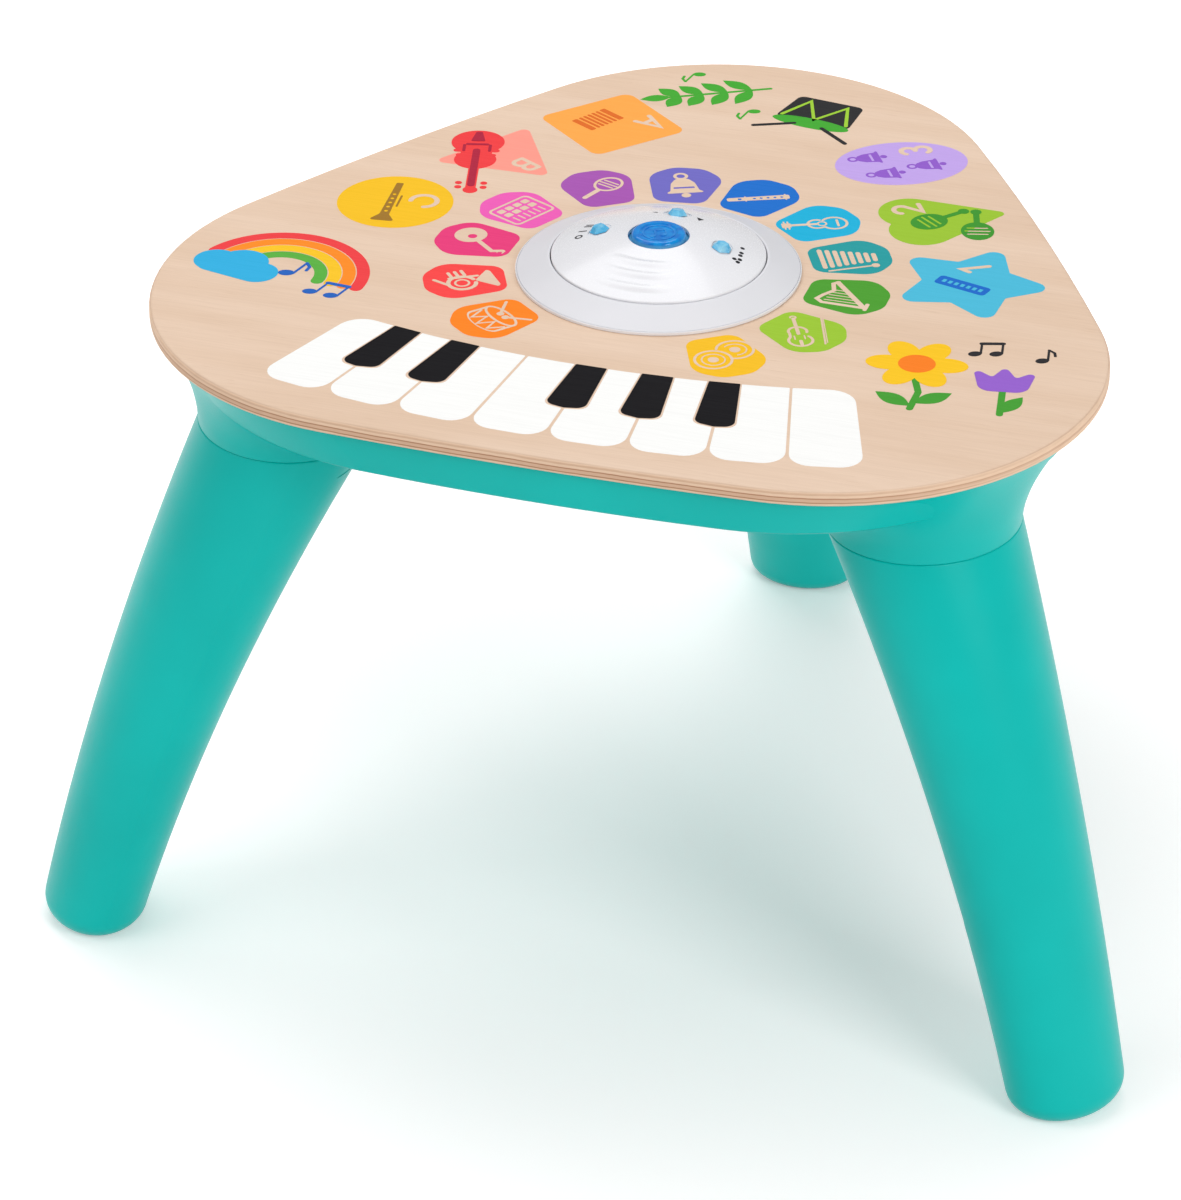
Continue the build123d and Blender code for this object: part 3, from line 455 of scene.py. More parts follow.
def slab(mesh, loops, lower, upper):
    """Adds a closed thin solid: lower and upper place a flat point, and holes follow the outline."""
    spots = [spot for loop in loops for spot in loop]
    feet = [mesh.verts.new(lower(x, y)) for x, y in spots]
    tops = [mesh.verts.new(upper(x, y)) for x, y in spots]
    for tri in tessellate_polygon([[Vector((x, y, 0)) for x, y in loop] for loop in loops]):
        a, b, c = (Vector(spots[k]) for k in tri)
        turn = (b - a).cross(c - a)
        if abs(turn) < TINY_AREA:
            continue
        order = tri if turn > 0 else tri[::-1]
        mesh.faces.new([tops[k] for k in order])
        mesh.faces.new([feet[k] for k in reversed(order)])
    start = 0
    for loop in loops:
        count = len(loop)
        for k in range(count):
            a, b = start + k, start + (k + 1) % count
            mesh.faces.new((feet[a], feet[b], tops[b], tops[a]))
        start += count


def flat_solids(shapes, to_plan, low, high, step):
    """Mesh of flat shapes between two heights, each shape's top a step above the one before."""
    mesh = bmesh.new()
    for k, loops in enumerate(shapes):
        plan = [[to_plan(point) for point in loop] for loop in loops]
        placed = [[(HUB_X + x * MM, HUB_Y + y * MM) for x, y in loop] for loop in plan]
        top = high + step * k
        slab(mesh, placed, lambda x, y: (x, y, low), lambda x, y: (x, y, top))
    return mesh


def finish_piece(name, mesh, material, body):
    """Turns a built mesh into a piece that rides on a body."""
    bmesh.ops.recalc_face_normals(mesh, faces=mesh.faces)
    data = bpy.data.meshes.new(name)
    mesh.to_mesh(data)
    mesh.free()
    data.materials.append(material)
    piece = bpy.data.objects.new(name, data)
    bpy.context.scene.collection.objects.link(piece)
    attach(piece, body)


def print_piece(name, shapes, material, level, to_plan=as_drawn):
    """One ink of the print: shapes are lists of loops, laid on the wood at a layer level."""
    mesh = flat_solids(shapes, to_plan, TOP_Z - INK_ROOT, TOP_Z + level * INK_STEP, SHAPE_STEP)
    finish_piece(name, mesh, material, "table")


# Keyboard print: eight white keys fanned from a far point, and five black ones

KEY_COUNT = 8
KEY_PITCH = 40.4
KEY_FAN = 480.0
KEY_FRONT = -178.0
KEY_TIP = -193.0
KEY_TIP_BOW = 19.0
KEY_REAR = -115.0
KEY_REAR_BOW = 17.0
KEY_HALF_SPAN = KEY_PITCH * KEY_COUNT / 2
KEY_GAP = 1.7
KEY_REAR_ROUND = 0.8
KEY_TIP_ROUND = 11.5
KEY_END_ROUND = 14.0
BLACK_GAPS = (1, 2, 4, 5, 6)
BLACK_WIDTH = 19.0
BLACK_LENGTH = 45.0
BLACK_FLARE = 1.16
BLACK_OVERLAP = 0.3
BLACK_TIP_BOW = (1.2, 1.0)
BLACK_REAR_ROUND = 0.6
BLACK_ROUND = 5.5
BLACK_HALO = 0.9


def fan(x, y):
    """Point of the keyboard: x is measured at the front line and narrows towards the rear."""
    return (x * (1 - (y - KEY_FRONT) / KEY_FAN), y)


def bowed(x, level, bow):
    """Height of a bowed edge of the keyboard at x."""
    return level + bow * (x / KEY_HALF_SPAN) ** 2


def white_key(index):
    """Outline of one white key, with a rounded front end."""
    left = (index - KEY_COUNT / 2) * KEY_PITCH + KEY_GAP / 2
    right = left + KEY_PITCH - KEY_GAP
    middle = (left + right) / 2
    rear = [fan(x, bowed(x, KEY_REAR, KEY_REAR_BOW)) for x in (right, middle, left)]
    tip = bowed(middle, KEY_TIP, KEY_TIP_BOW)
    lean = (bowed(right, KEY_TIP, KEY_TIP_BOW) - bowed(left, KEY_TIP, KEY_TIP_BOW)) / 2
    front = [fan(left, tip - lean), fan(right, tip + lean)]
    radii = [KEY_REAR_ROUND, 0, KEY_REAR_ROUND, KEY_TIP_ROUND, KEY_TIP_ROUND]
    if index == 0:
        radii[2] = KEY_END_ROUND
    if index == KEY_COUNT - 1:
        radii[0] = KEY_END_ROUND
    return eased(rear + front, radii)


def black_key(gap, grow):
    """Outline of one black key centred on a gap between white keys, drawn out by a margin."""
    x = (gap - KEY_COUNT / 2) * KEY_PITCH
    rear = bowed(x, KEY_REAR, KEY_REAR_BOW) + BLACK_OVERLAP + grow
    front = rear - BLACK_LENGTH - 2 * grow
    half = BLACK_WIDTH / 2 + grow
    wide = half * BLACK_FLARE
    slant = KEY_REAR_BOW * 2 * x * half / KEY_HALF_SPAN**2
    lift, drop = BLACK_TIP_BOW
    corners = [fan(x + half, rear + slant), fan(x - half, rear - slant),
               fan(x - wide, front - slant / 2 + lift), fan(x, front - drop),
               fan(x + wide, front + slant / 2 + lift)]
    return eased(corners, [BLACK_REAR_ROUND, BLACK_REAR_ROUND, BLACK_ROUND, 0, BLACK_ROUND])


def keyboard():
    """The printed piano."""
    white = ink("white_ink", linear(252, 252, 250), 0.45)
    black = ink("black_ink", linear(14, 12, 17), 0.55, 0.06)
    print_piece("keys_white", [[white_key(k)] for k in range(KEY_COUNT)], white, 1)
    print_piece("keys_halo", [[black_key(gap, BLACK_HALO)] for gap in BLACK_GAPS], WOOD, 2)
    print_piece("keys_black", [[black_key(gap, 0)] for gap in BLACK_GAPS], black, 3)


# Instrument pictures, each a list of shapes about 30 mm tall

def disc(x, y, radius):
    """Filled circle."""
    return [oval(x, y, radius)]


def bar(x1, y1, x2, y2, width):
    """Straight pen line."""
    return [stroke([(x1, y1), (x2, y2)], width)]


def note(x, y, size=1.0):
    """Quaver: a tilted head, a stem and a flag."""
    s = size
    head = [oval(x, y, 2.6 * s, 1.9 * s, 25)]
    stem = bar(x + 2.2 * s, y + 0.6 * s, x + 2.2 * s, y + 9 * s, 0.9 * s)
    flag = [(x + 2.2 * s, y + 9 * s), (x + 4.4 * s, y + 7 * s), (x + 4.8 * s, y + 4.4 * s)]
    return [head, stem, [stroke(flag, 1.1 * s)]]


def beamed_notes(x, y, size=1.0):
    """Two quavers joined by a beam."""
    s = size
    return [[oval(x, y, 2.6 * s, 1.9 * s, 25)], [oval(x + 8 * s, y + 1 * s, 2.6 * s, 1.9 * s, 25)],
            bar(x + 2.2 * s, y + 0.6 * s, x + 2.2 * s, y + 9 * s, 0.9 * s),
            bar(x + 10.2 * s, y + 1.6 * s, x + 10.2 * s, y + 10 * s, 0.9 * s),
            bar(x + 2.2 * s, y + 8.6 * s, x + 10.2 * s, y + 9.6 * s, 2.0 * s)]


def hand_drum():
    """Laced drum with two sticks."""
    wall = stroke([(-10.5, 3)] + arc(0, -6, 10.5, 180, 360, 16) + [(10.5, 3)], 1.4)
    skin = [oval(0, 3, 11.2, 4.6), oval(0, 3, 9.8, 3.4)]
    wall = [(x, -6 + (y + 6) * 0.42) if y < -6 else (x, y) for x, y in wall]
    lace = [(-9.4, -1.2), (-6.2, -8.0), (-3.0, -2.2), (0.0, -9.4), (3.0, -2.2), (6.2, -8.0), (9.4, -1.2)]
    sticks = [bar(side * 2, 4, side * 10, 12, 1.4) for side in (-1, 1)]
    beaters = [disc(side * 2, 4, 1.7) for side in (-1, 1)]
    return [[wall], skin, [stroke(lace, 1.1)]] + sticks + beaters


def bugle():
    """Horn with a wound tube and a bell."""
    bell = eased([(3.5, -1.6), (12, 6.5), (13.2, 4.5), (13.0, -9.5), (11.6, -11.2)], 0.9)
    coil = [stroke(arc(-3, -2, 6.4, 15, 345), 2.0)]
    pipes = [bar(-7, 4.2, 6, 2.4, 1.8), bar(-9.4, -2, -14, 5.5, 1.8)]
    valves = [bar(x, 5, x, 9.6, 1.7) for x in (-5.6, -2.4, 0.8)]
    return [coil, hoop(-3, -2, 3.2, 1.1), [bell]] + pipes + valves


def lute():
    """Round-backed lute with a bent peg head."""
    body = [oval(0, -7, 7.8, 7.4), oval(0, -5.4, 2.2)]
    pegs = [bar(-5.2 + k, 15.8 - 1.3 * k, -3.2 + k, 17.0 - 1.3 * k, 0.8) for k in (0.0, 1.6)]
    return [body, bar(0, 0, 0, 12.5, 2.4), bar(0, 12.5, -4.5, 15, 2.2), bar(-3.4, -11, 3.4, -11, 1.2)] + pegs


def beat_box():
    """Box with pads and a row of sliders."""
    case = [plate(-12.5, -10, 12.5, 10, 2.8), plate(-11.3, -8.8, 11.3, 8.8, 1.8)]
    pads = [[plate(x, y, x + 3.8, y + 3.4, 0.7)] for x in (-9.4, -4.4, 0.6, 5.6) for y in (-7.0, -2.4)]
    sliders = [bar(x, 2.8, x, 7.0, 0.9) for x in (-8, -4.8, -1.6, 1.6, 4.8, 8)]
    return [case] + pads + sliders


def maraca(x=0.0, y=0.0, lean=30.0):
    """Shaker with a ball head, a band and a handle."""
    a = math.radians(lean)
    along, across = (math.sin(a), math.cos(a)), (math.cos(a), -math.sin(a))
    head = (x + 6 * along[0], y + 6 * along[1])
    shapes = [[oval(*head, 6.2, 7.4, -lean), oval(*head, 4.9, 6.1, -lean)]]
    for shift in (-2.2, 0.0, 2.2):
        half = 4.4 - abs(shift) / 3
        middle = (head[0] + shift * along[0], head[1] + shift * along[1])
        shapes.append(bar(middle[0] - half * across[0], middle[1] - half * across[1],
                          middle[0] + half * across[0], middle[1] + half * across[1], 0.9))
    shapes.append(bar(x - 1.6 * along[0], y - 1.6 * along[1], x - 11 * along[0], y - 11 * along[1], 2.4))
    return shapes


def hand_bell():
    """Bell with a loop handle and a clapper."""
    shell = [(-10, -7.5), (-7, -5), (-5.8, 3), (-3, 8), (3, 8), (5.8, 3), (7, -5), (10, -7.5)]
    band = [eased([(-5.2, -2.6), (5.2, -2.6), (4.9, -0.9), (-4.9, -0.9)], 0.4)]
    return [[eased(shell, [0.8, 2, 3, 3, 3, 3, 2, 0.8])] + band, hoop(0, 10.8, 2.8, 1.6), disc(0, -10, 2.3)]


def recorder():
    """Straight whistle with finger holes."""
    tube = eased([(-2.3, -16), (2.3, -16), (1.8, 16), (-1.8, 16)], 1.2)
    holes = [oval(0, y, 0.8, count=16) for y in (-12, -8.5, -5, -1.5, 2)]
    window = plate(-0.9, 8.6, 0.9, 10.4, 0.3)
    return [[tube] + holes + [window], bar(-2.8, -13.9, 2.8, -13.9, 0.9), bar(-2.4, 6.5, 2.4, 6.5, 0.9)]


def ukulele():
    """Small waisted guitar."""
    waist = [stroke(arc(0, -8, 6.0, 55, -235) + arc(0, 0.2, 4.3, 205, -25), 1.3)]
    head = [eased([(-2, 12.5), (2, 12.5), (2.5, 17), (-2.5, 17)], 0.7)]
    pegs = [bar(side * 2.4, y, side * 3.8, y, 0.8) for side in (-1, 1) for y in (13.8, 15.6)]
    return [waist, hoop(0, -2.2, 2.0, 0.9), bar(-3, -9.6, 3, -9.6, 1.2), bar(0, 0.4, 0, 13, 1.9), head] + pegs


def chime_bars():
    """Row of bars of falling length on two rails, with a beater."""
    bars = [bar(-11.2 + 3.2 * k, -7.6 + 0.6 * k, -11.2 + 3.2 * k, 8.4 - 0.9 * k, 2.1) for k in range(8)]
    return bars + [bar(-10, -11, 9, -8.4, 1.1), disc(10.4, -8.2, 1.8)]


def lyre():
    """Harp with a curved neck and strings."""
    frame_line = [stroke([(-9, -10), (-8.6, 8), (-6, 10.8), (-2, 9), (3, 5.6), (9, 7.4), (11, 5.6)], 1.9)]
    sound_box = [stroke([(-9, -10.4), (10.6, 5.8)], 2.4)]
    strings = [bar(x, -8.6 + 0.83 * (x + 7.4), x, 7.8 - 0.2 * (x + 7.4), 0.6)
               for x in (-6, -3.6, -1.2, 1.2, 3.6)]
    return [frame_line, sound_box, bar(-10.5, -11, -5.5, -11, 1.8)] + strings


def fiddle():
    """Fiddle and bow."""
    body = [stroke(arc(-2, -8, 5.2, 40, -220) + arc(-2, 0.4, 4.0, 200, -20), 1.3)]
    scroll = [stroke(arc(-2, 13.4, 1.2, -90, 190), 0.9)]
    holes = [bar(-4.2, -6.8, -4.2, -3.8, 0.7), bar(0.2, -6.8, 0.2, -3.8, 0.7)]
    return [body, bar(-2, -2, -2, 12.4, 1.7), bar(-2, -12, -2, -8.4, 1.6), scroll,
            bar(8, -12.5, 10.2, 12.5, 0.9), bar(9.1, -11.4, 10.9, 11.8, 0.5)] + holes


def cymbals():
    """Pair of cymbals."""
    front = [hoop(-5.4, -2.6, 8.0, 1.2), hoop(-5.4, -2.6, 5.0, 0.7), disc(-5.4, -2.6, 2.4)]
    behind = [[stroke(arc(6.4, 3.2, 8.0, -120, 160, 30), 1.2)], [stroke(arc(6.4, 3.2, 5.0, -95, 130), 0.7)],
              disc(6.4, 3.2, 2.4)]
    return front + behind


def concertina():
    """Squeeze box with pleats."""
    ends = [[plate(x, -9, x + 4, 9, 1)] for x in (-13, 9)]
    return ends + [bar(x, -8, x, 8, 2.0) for x in (-6.6, -3.3, 0, 3.3, 6.6)]


def clarinet():
    """Straight pipe with a flared end and keys."""
    tube = [(-1.5, 18), (1.5, 18), (2.0, -12), (5.5, -18), (-5.5, -18), (-2.0, -12)]
    holes = [oval(0, y, 0.8, count=14) for y in (-9, -5, -1, 3, 7)]
    return [[eased(tube, [0.6, 0.6, 2, 1, 1, 2])] + holes, bar(3.4, -4, 3.4, 6, 0.9)]


def shaker():
    """Filled shaker with bare bands round its head."""
    bands = [stroke([(-4.6 + abs(y - 6) / 3, y), (4.6 - abs(y - 6) / 3, y)], 1.0) for y in (3.4, 6.0, 8.6)]
    return [[oval(0, 6, 6.4, 7.6)] + bands, bar(0, -1, 0, -10, 2.4), disc(0, -10.6, 2.2)]


def viola():
    """Filled body of a bowed instrument, with the neck and the peg head."""
    waist = [eased([(-4.0, -5.0), (4.0, -5.0), (3.4, -0.6), (-3.4, -0.6)], 0.5)]
    corners = [bar(-4.6, -3.6, 4.6, -3.6, 1.6), bar(-4.0, -1.2, 4.0, -1.2, 1.4)]
    pegs = [disc(side * 2.9, y, 0.8) for side in (-1, 1) for y in (13.6, 15.8)]
    neck = [bar(0, 4, 0, 16, 2.4), disc(0, 17.2, 1.7)]
    return [disc(0, -8.2, 6.2), disc(0, 1.2, 4.9), waist] + neck + corners + pegs


def viola_fittings():
    """Fingerboard, bridge and tailpiece over a viola's body."""
    tail = [eased([(-1.7, -8.6), (1.7, -8.6), (0.7, -13.6), (-0.7, -13.6)], 0.4)]
    slots = [bar(side * 3.0, -6.4, side * 3.0, -3.4, 0.7) for side in (-1, 1)]
    return [tail, bar(-2.3, -6.9, 2.3, -6.9, 0.9), bar(0, -3.6, 0, 14.6, 1.7)] + slots


def mouth_organ():
    """Mouth organ with a row of blow holes."""
    holes = [plate(x, -1.7, x + 2.2, 1.7, 0.4, 3) for x in (-11.9, -8.3, -4.7, -1.1, 2.5, 6.1, 9.7)]
    return [[plate(-15, -4.8, 15, 4.8, 2.2)] + holes]


# Ring of touch tiles round the hub

TILE_REACH = 102.0
TILE_OUTLINE = ((-20.5, -13.6), (11.5, -21.2), (23.0, -8.5), (23.0, 8.5), (11.5, 21.2), (-20.5, 13.6))
TILE_ROUNDS = (8.0, 13.0, 13.0, 13.0, 13.0, 8.0)

# Each tile: name, angle round the hub, ink, picture, the picture's tilt and scale
TILES = (
    ("orange", 231.0, (255, 132, 8), hand_drum, 0, 1.2),
    ("red", 205.0, (250, 66, 66), bugle, 105, 1.15),
    ("magenta", 178.5, (233, 54, 122), lute, -40, 1.15),
    ("pink", 154.0, (240, 92, 184), beat_box, 0, 1.2),
    ("purple", 125.5, (168, 84, 178), maraca, 155, 1.25),
    ("violet", 99.5, (112, 106, 196), hand_bell, 195, 1.15),
    ("blue", 75.0, (4, 110, 206), recorder, -50, 1.08),
    ("cyan", 50.0, (4, 178, 220), ukulele, -25, 1.15),
    ("teal", 25.5, (26, 156, 160), chime_bars, -90, 1.25),
    ("green", 0.8, (72, 158, 38), lyre, 0, 1.25),
    ("lime", -26.0, (156, 200, 46), fiddle, -39, 1.2),
    ("yellow", -53.8, (248, 192, 12), cymbals, 0, 1.2),
)


def touch_tiles():
    """Twelve coloured tiles, each with an instrument left in bare wood, read from outside."""
    outline = eased(TILE_OUTLINE, TILE_ROUNDS)
    for name, angle, colour, picture, tilt, size in TILES:
        a = math.radians(angle)
        x, y = TILE_REACH * math.cos(a), TILE_REACH * math.sin(a)
        outward = stamp(x, y, angle + 90)
        print_piece(f"tile_{name}", [[outline]], ink(f"{name}_ink", linear(*colour)), 1, outward)
        print_piece(f"tile_{name}_picture", picture(), WOOD, 2, stamp(x, y, angle + 180 + tilt, size))


# Letters and numbers on plain shapes; a place is x, y, the way up in plan and any scale

GLYPH_WIDTH = 3.0
LETTER_UP, NUMBER_UP = 330.0, 210.0
SQUARE_HALF, SQUARE_ROUND = 30.0, 6.0
SQUARE_PLACE = (-78.5, 165.0, 50.0)
SQUARE_LETTER_PLACE = (-58.0, 173.0, LETTER_UP, 0.95)
SQUARE_PICTURE_PLACE = (-88.0, 168.0, LETTER_UP, 0.95)
TRIANGLE_CORNERS, TRIANGLE_ROUND = ((-158.6, 88.0), (-91.0, 89.7), (-122.2, 146.0)), 3.5
TRIANGLE_LETTER_PLACE = (-108.0, 99.5, LETTER_UP, 0.9)
TRIANGLE_PICTURE_PLACE = (-137.5, 100.0, 285.0, 2.4)
DISC_X, DISC_Y, DISC_RADIUS = -160.6, 33.4, 31.8
DISC_LETTER_PLACE = (-146.0, 39.0, LETTER_UP, 0.95)
DISC_PICTURE_PLACE = (-163.0, 33.0, 97.0, 1.3)
STAR_OUTER, STAR_INNER, STAR_ROUND = 46.0, 25.0, 6.0
STAR_PLACE = (160.3, 35.5, 81.0)
STAR_NUMBER_PLACE = (159.5, 53.0, NUMBER_UP, 0.95)
STAR_PICTURE_PLACE = (157.6, 31.5, 75.0)
HEART_HALF, HEART_DROP = 28.5, 52.0
HEART_PLACE = (115.5, 97.5, NUMBER_UP)
HEART_NUMBER_PLACE = (107.5, 110.5, NUMBER_UP, 0.95)
HEART_PICTURE_PLACES = ((127.5, 106.0, 231.0, 1.4), (147.5, 104.5, 286.0, 1.4))
OVAL_ACROSS, OVAL_ALONG = 26.8, 37.4
OVAL_PLACE = (89.5, 165.5, NUMBER_UP)
OVAL_NUMBER_PLACE = (92.5, 184.0, NUMBER_UP, 1.0)
OVAL_PICTURE_SPOTS, OVAL_PICTURE_SCALE = ((70.5, 166.5), (85.4, 150.5), (104.1, 168.0)), 0.85


def glyph(mark):
    """Pen strokes of a letter or number, 16 mm tall."""
    lines = {
        "A": ([(-5.6, -8), (0, 8), (5.6, -8)], [(-3.4, -2.6), (3.4, -2.6)]),
        "B": ([(-4.2, -8), (-4.2, 8)], [(-4.2, 8)] + arc(0.2, 4.2, 3.8, 90, -90) + [(-4.2, 0.4)],
              [(-4.2, 0.4)] + arc(0.6, -3.8, 4.2, 90, -90) + [(-4.2, -8)]),
        "C": (arc(0, 0, 7.6, 48, 312),),
        "1": ([(-3.6, 4.8), (0.8, 8), (0.8, -8)],),
        "2": (arc(0, 3.6, 4.6, 165, -30) + [(-4.6, -7.6), (5.4, -7.6)],),
        "3": (arc(-0.4, 4, 4.0, 150, -90), arc(-0.4, -4.2, 4.2, 90, -150)),
    }[mark]
    return [[stroke(line, GLYPH_WIDTH)] for line in lines]


def letter_shapes():
    """A on a square, B on a triangle and C on a disc, with a small picture each."""
    square = plate(-SQUARE_HALF, -SQUARE_HALF, SQUARE_HALF, SQUARE_HALF, SQUARE_ROUND)
    orange = ink("soft_orange_ink", linear(255, 170, 74))
    print_piece("square_a", [[square]], orange, 1, stamp(*SQUARE_PLACE))
    print_piece("square_a_letter", glyph("A"), WOOD, 2, stamp(*SQUARE_LETTER_PLACE))
    rust = ink("rust_ink", linear(226, 108, 28))
    print_piece("square_a_picture", concertina(), rust, 2, stamp(*SQUARE_PICTURE_PLACE))
    salmon = ink("salmon_ink", linear(255, 156, 140))
    print_piece("triangle_b", [[eased(TRIANGLE_CORNERS, TRIANGLE_ROUND)]], salmon, 1)
    print_piece("triangle_b_letter", glyph("B"), WOOD, 2, stamp(*TRIANGLE_LETTER_PLACE))
    strings = stamp(*TRIANGLE_PICTURE_PLACE)
    print_piece("triangle_b_picture", viola(), ink("red_ink_2", linear(242, 58, 62)), 2, strings)
    print_piece("triangle_b_fittings", viola_fittings(), ink("crimson_ink", linear(176, 22, 58)), 4, strings)
    amber = ink("amber_ink", linear(248, 194, 14))
    print_piece("disc_c", [disc(DISC_X, DISC_Y, DISC_RADIUS)], amber, 1)
    print_piece("disc_c_letter", glyph("C"), WOOD, 2, stamp(*DISC_LETTER_PLACE))
    brown = ink("brown_ink", linear(160, 116, 30))
    print_piece("disc_c_picture", clarinet(), brown, 2, stamp(*DISC_PICTURE_PLACE))


def number_shapes():
    """1 on a star, 2 on a heart and 3 on an oval, with that many small pictures."""
    sky = ink("sky_ink", linear(72, 188, 220))
    print_piece("star_1", [[star(5, STAR_OUTER, STAR_INNER, STAR_ROUND)]], sky, 1, stamp(*STAR_PLACE))
    print_piece("star_1_number", glyph("1"), WOOD, 2, stamp(*STAR_NUMBER_PLACE))
    deep = ink("deep_blue_ink", linear(8, 104, 202))
    print_piece("star_1_picture", mouth_organ(), deep, 2, stamp(*STAR_PICTURE_PLACE))
    lime = ink("lime_ink_2", linear(156, 198, 46))
    print_piece("heart_2", [[heart(HEART_HALF, HEART_DROP)]], lime, 1, stamp(*HEART_PLACE))
    print_piece("heart_2_number", glyph("2"), WOOD, 2, stamp(*HEART_NUMBER_PLACE))
    leaf = ink("leaf_ink", linear(58, 150, 40))
    for k, place in enumerate(HEART_PICTURE_PLACES):
        print_piece(f"heart_2_picture_{k + 1}", shaker(), leaf, 2, stamp(*place))
    lavender = ink("lavender_ink", linear(196, 166, 236))
    print_piece("oval_3", [[oval(0, 0, OVAL_ACROSS, OVAL_ALONG)]], lavender, 1, stamp(*OVAL_PLACE))
    print_piece("oval_3_number", glyph("3"), WOOD, 2, stamp(*OVAL_NUMBER_PLACE))
    grape = ink("grape_ink", linear(146, 92, 204))
    for k, spot in enumerate(OVAL_PICTURE_SPOTS):
        place = stamp(*spot, NUMBER_UP, OVAL_PICTURE_SCALE)
        print_piece(f"oval_3_picture_{k + 1}", hand_bell(), grape, 2, place)


# Plain pictures at the three corners, placed in the same way

RAINBOW_PLACE = (-186.0, -49.0, 78.0, 1.5)
RAINBOW_BAND = 4.6
RAINBOW = (("red", 30.0, (240, 60, 64)), ("orange", 25.0, (255, 140, 20)), ("yellow", 20.0, (250, 198, 20)),
           ("green", 15.0, (88, 176, 60)))
LEAF_PLACE = (1.0, 213.0, 262.0, 1.4)
SPRIG_ROOT, SPRIG_TIP, SPRIG_LEAN = (8.0, -17.0), (42.0, 9.0), 37.0
LEAF_SHARES, LEAF_SPREAD = (0.18, 0.42, 0.66, 0.88), 50.0
FLOWER_PLACE = (179.0, -66.0, 100.0, 1.5)
FLOWER_X, FLOWER_Y, PETAL_REACH = -14.0, 6.0, 10.0


def rainbow_corner():
    """Rainbow, cloud and notes at the left corner."""
    place = stamp(*RAINBOW_PLACE)
    for name, radius, colour in RAINBOW:
        band = stroke(arc(0, -12, radius, 8, 172, 40), RAINBOW_BAND)
        print_piece(f"rainbow_{name}", [[band]], ink(f"rainbow_{name}_ink", linear(*colour)), 1, place)
    sky = ink("cloud_ink", linear(40, 176, 226))
    puffs = [disc(-25, -14, 8), disc(-16, -11, 9.5), disc(-7, -15, 7.5), bar(-25, -19, -7, -19, 7)]
    print_piece("rainbow_cloud", puffs, sky, 2, place)
    deep = ink("note_blue_ink", linear(20, 96, 190))
    print_piece("rainbow_notes", note(2, -10, 1.1) + beamed_notes(17, -18, 1.0), deep, 2, place)


def leaf_corner():
    """Drum, leaves and notes at the rear corner."""
    place = stamp(*LEAF_PLACE)
    green = ink("corner_green_ink", linear(64, 170, 44))
    lime = ink("corner_lime_ink", linear(160, 208, 52))
    dark = ink("corner_dark_ink", linear(34, 34, 36))
    stem = [bar(*SPRIG_ROOT, *SPRIG_TIP, 1.6), [petal(41, 8, 13, 6, SPRIG_LEAN)]]
    for t in LEAF_SHARES:
        x, y = (root + (tip - root) * t for root, tip in zip(SPRIG_ROOT, SPRIG_TIP))
        stem += [[petal(x, y, 16 - 5 * t, 6.5, SPRIG_LEAN + side * LEAF_SPREAD)] for side in (-1, 1)]
    print_piece("leaf_sprig", stem, green, 1, place)
    body = eased([(-34, -16), (-6, -16), (-4, 6), (-36, 6)], 3)
    print_piece("drum_body", [[body]], dark, 1, place)
    lacing = stroke([(-34, 3), (-28, -13), (-20, 3), (-12, -13), (-6, 3)], 1.6)
    print_piece("drum_lacing", [[lacing]], lime, 2, place)
    print_piece("drum_head", [[oval(-20, 6.5, 16.5, 4.4)]], green, 2, place)
    print_piece("drum_sticks", [bar(-26, 9, -40, 18, 1.8), bar(-14, 9, 0, 18, 1.8)], dark, 3, place)
    print_piece("leaf_notes", note(5, 6, 1.0) + note(40, -17, 1.0), green, 1, place)


def flower_corner():
    """Flower, tulip and notes at the right corner."""
    place = stamp(*FLOWER_PLACE)
    yellow = ink("petal_yellow_ink", linear(252, 200, 16))
    orange = ink("petal_orange_ink", linear(252, 128, 16))
    green = ink("stem_green_ink", linear(64, 158, 44))
    violet = ink("petal_violet_ink", linear(150, 96, 206))
    dark = ink("flower_dark_ink", linear(34, 32, 36))
    stem = [stroke([(-14, -4), (-12, -14), (-14, -26)], 2.4)]
    leaves = [[petal(-13, -22, 15, 7, 35)], [petal(-14, -24, 15, 7, 145)]]
    print_piece("flower_stem", [stem] + leaves, green, 1, place)
    petals = []
    for tilt in range(0, 360, 60):
        a = math.radians(tilt)
        x, y = FLOWER_X + PETAL_REACH * math.cos(a), FLOWER_Y + PETAL_REACH * math.sin(a)
        petals.append([oval(x, y, 7.5, 5.2, tilt)])
    print_piece("flower_petals", petals, yellow, 2, place)
    print_piece("flower_heart", [disc(FLOWER_X, FLOWER_Y, 6.4)], orange, 3, place)
    tulip = [(8, -10), (24, -10), (27, 6), (20, 0), (16, 8), (12, 0), (5, 6)]
    print_piece("tulip_bloom", [[eased(tulip, [5, 5, 1.5, 1, 1.5, 1, 1.5])]], violet, 2, place)
    print_piece("tulip_stem", [bar(16, -9, 16, -26, 2.4), [petal(16, -25, 14, 6, 60)]], green, 1, place)
    print_piece("flower_notes", beamed_notes(5, 16, 0.9) + note(28, 14, 0.9), dark, 2, place)


# Hub details

DOME_RADIUS = 57.0
DOME_EDGE = 9.6
DOME_CROWN_RADIUS = 16.4
DOME_CROWN = 20.2
DOME_SWELL = 1.2
RIDGE_RADII = (29.5, 38.5, 47.8)
RIDGE_HALF_SPANS = (38.0, 34.0, 30.0)
RIDGE_WIDTH = 8.0
RIDGE_HEIGHT = 1.0
RIDGE_SUNK = 0.05
RIDGE_STEPS = (40, 12)
FRONT_ANGLE = 270.0


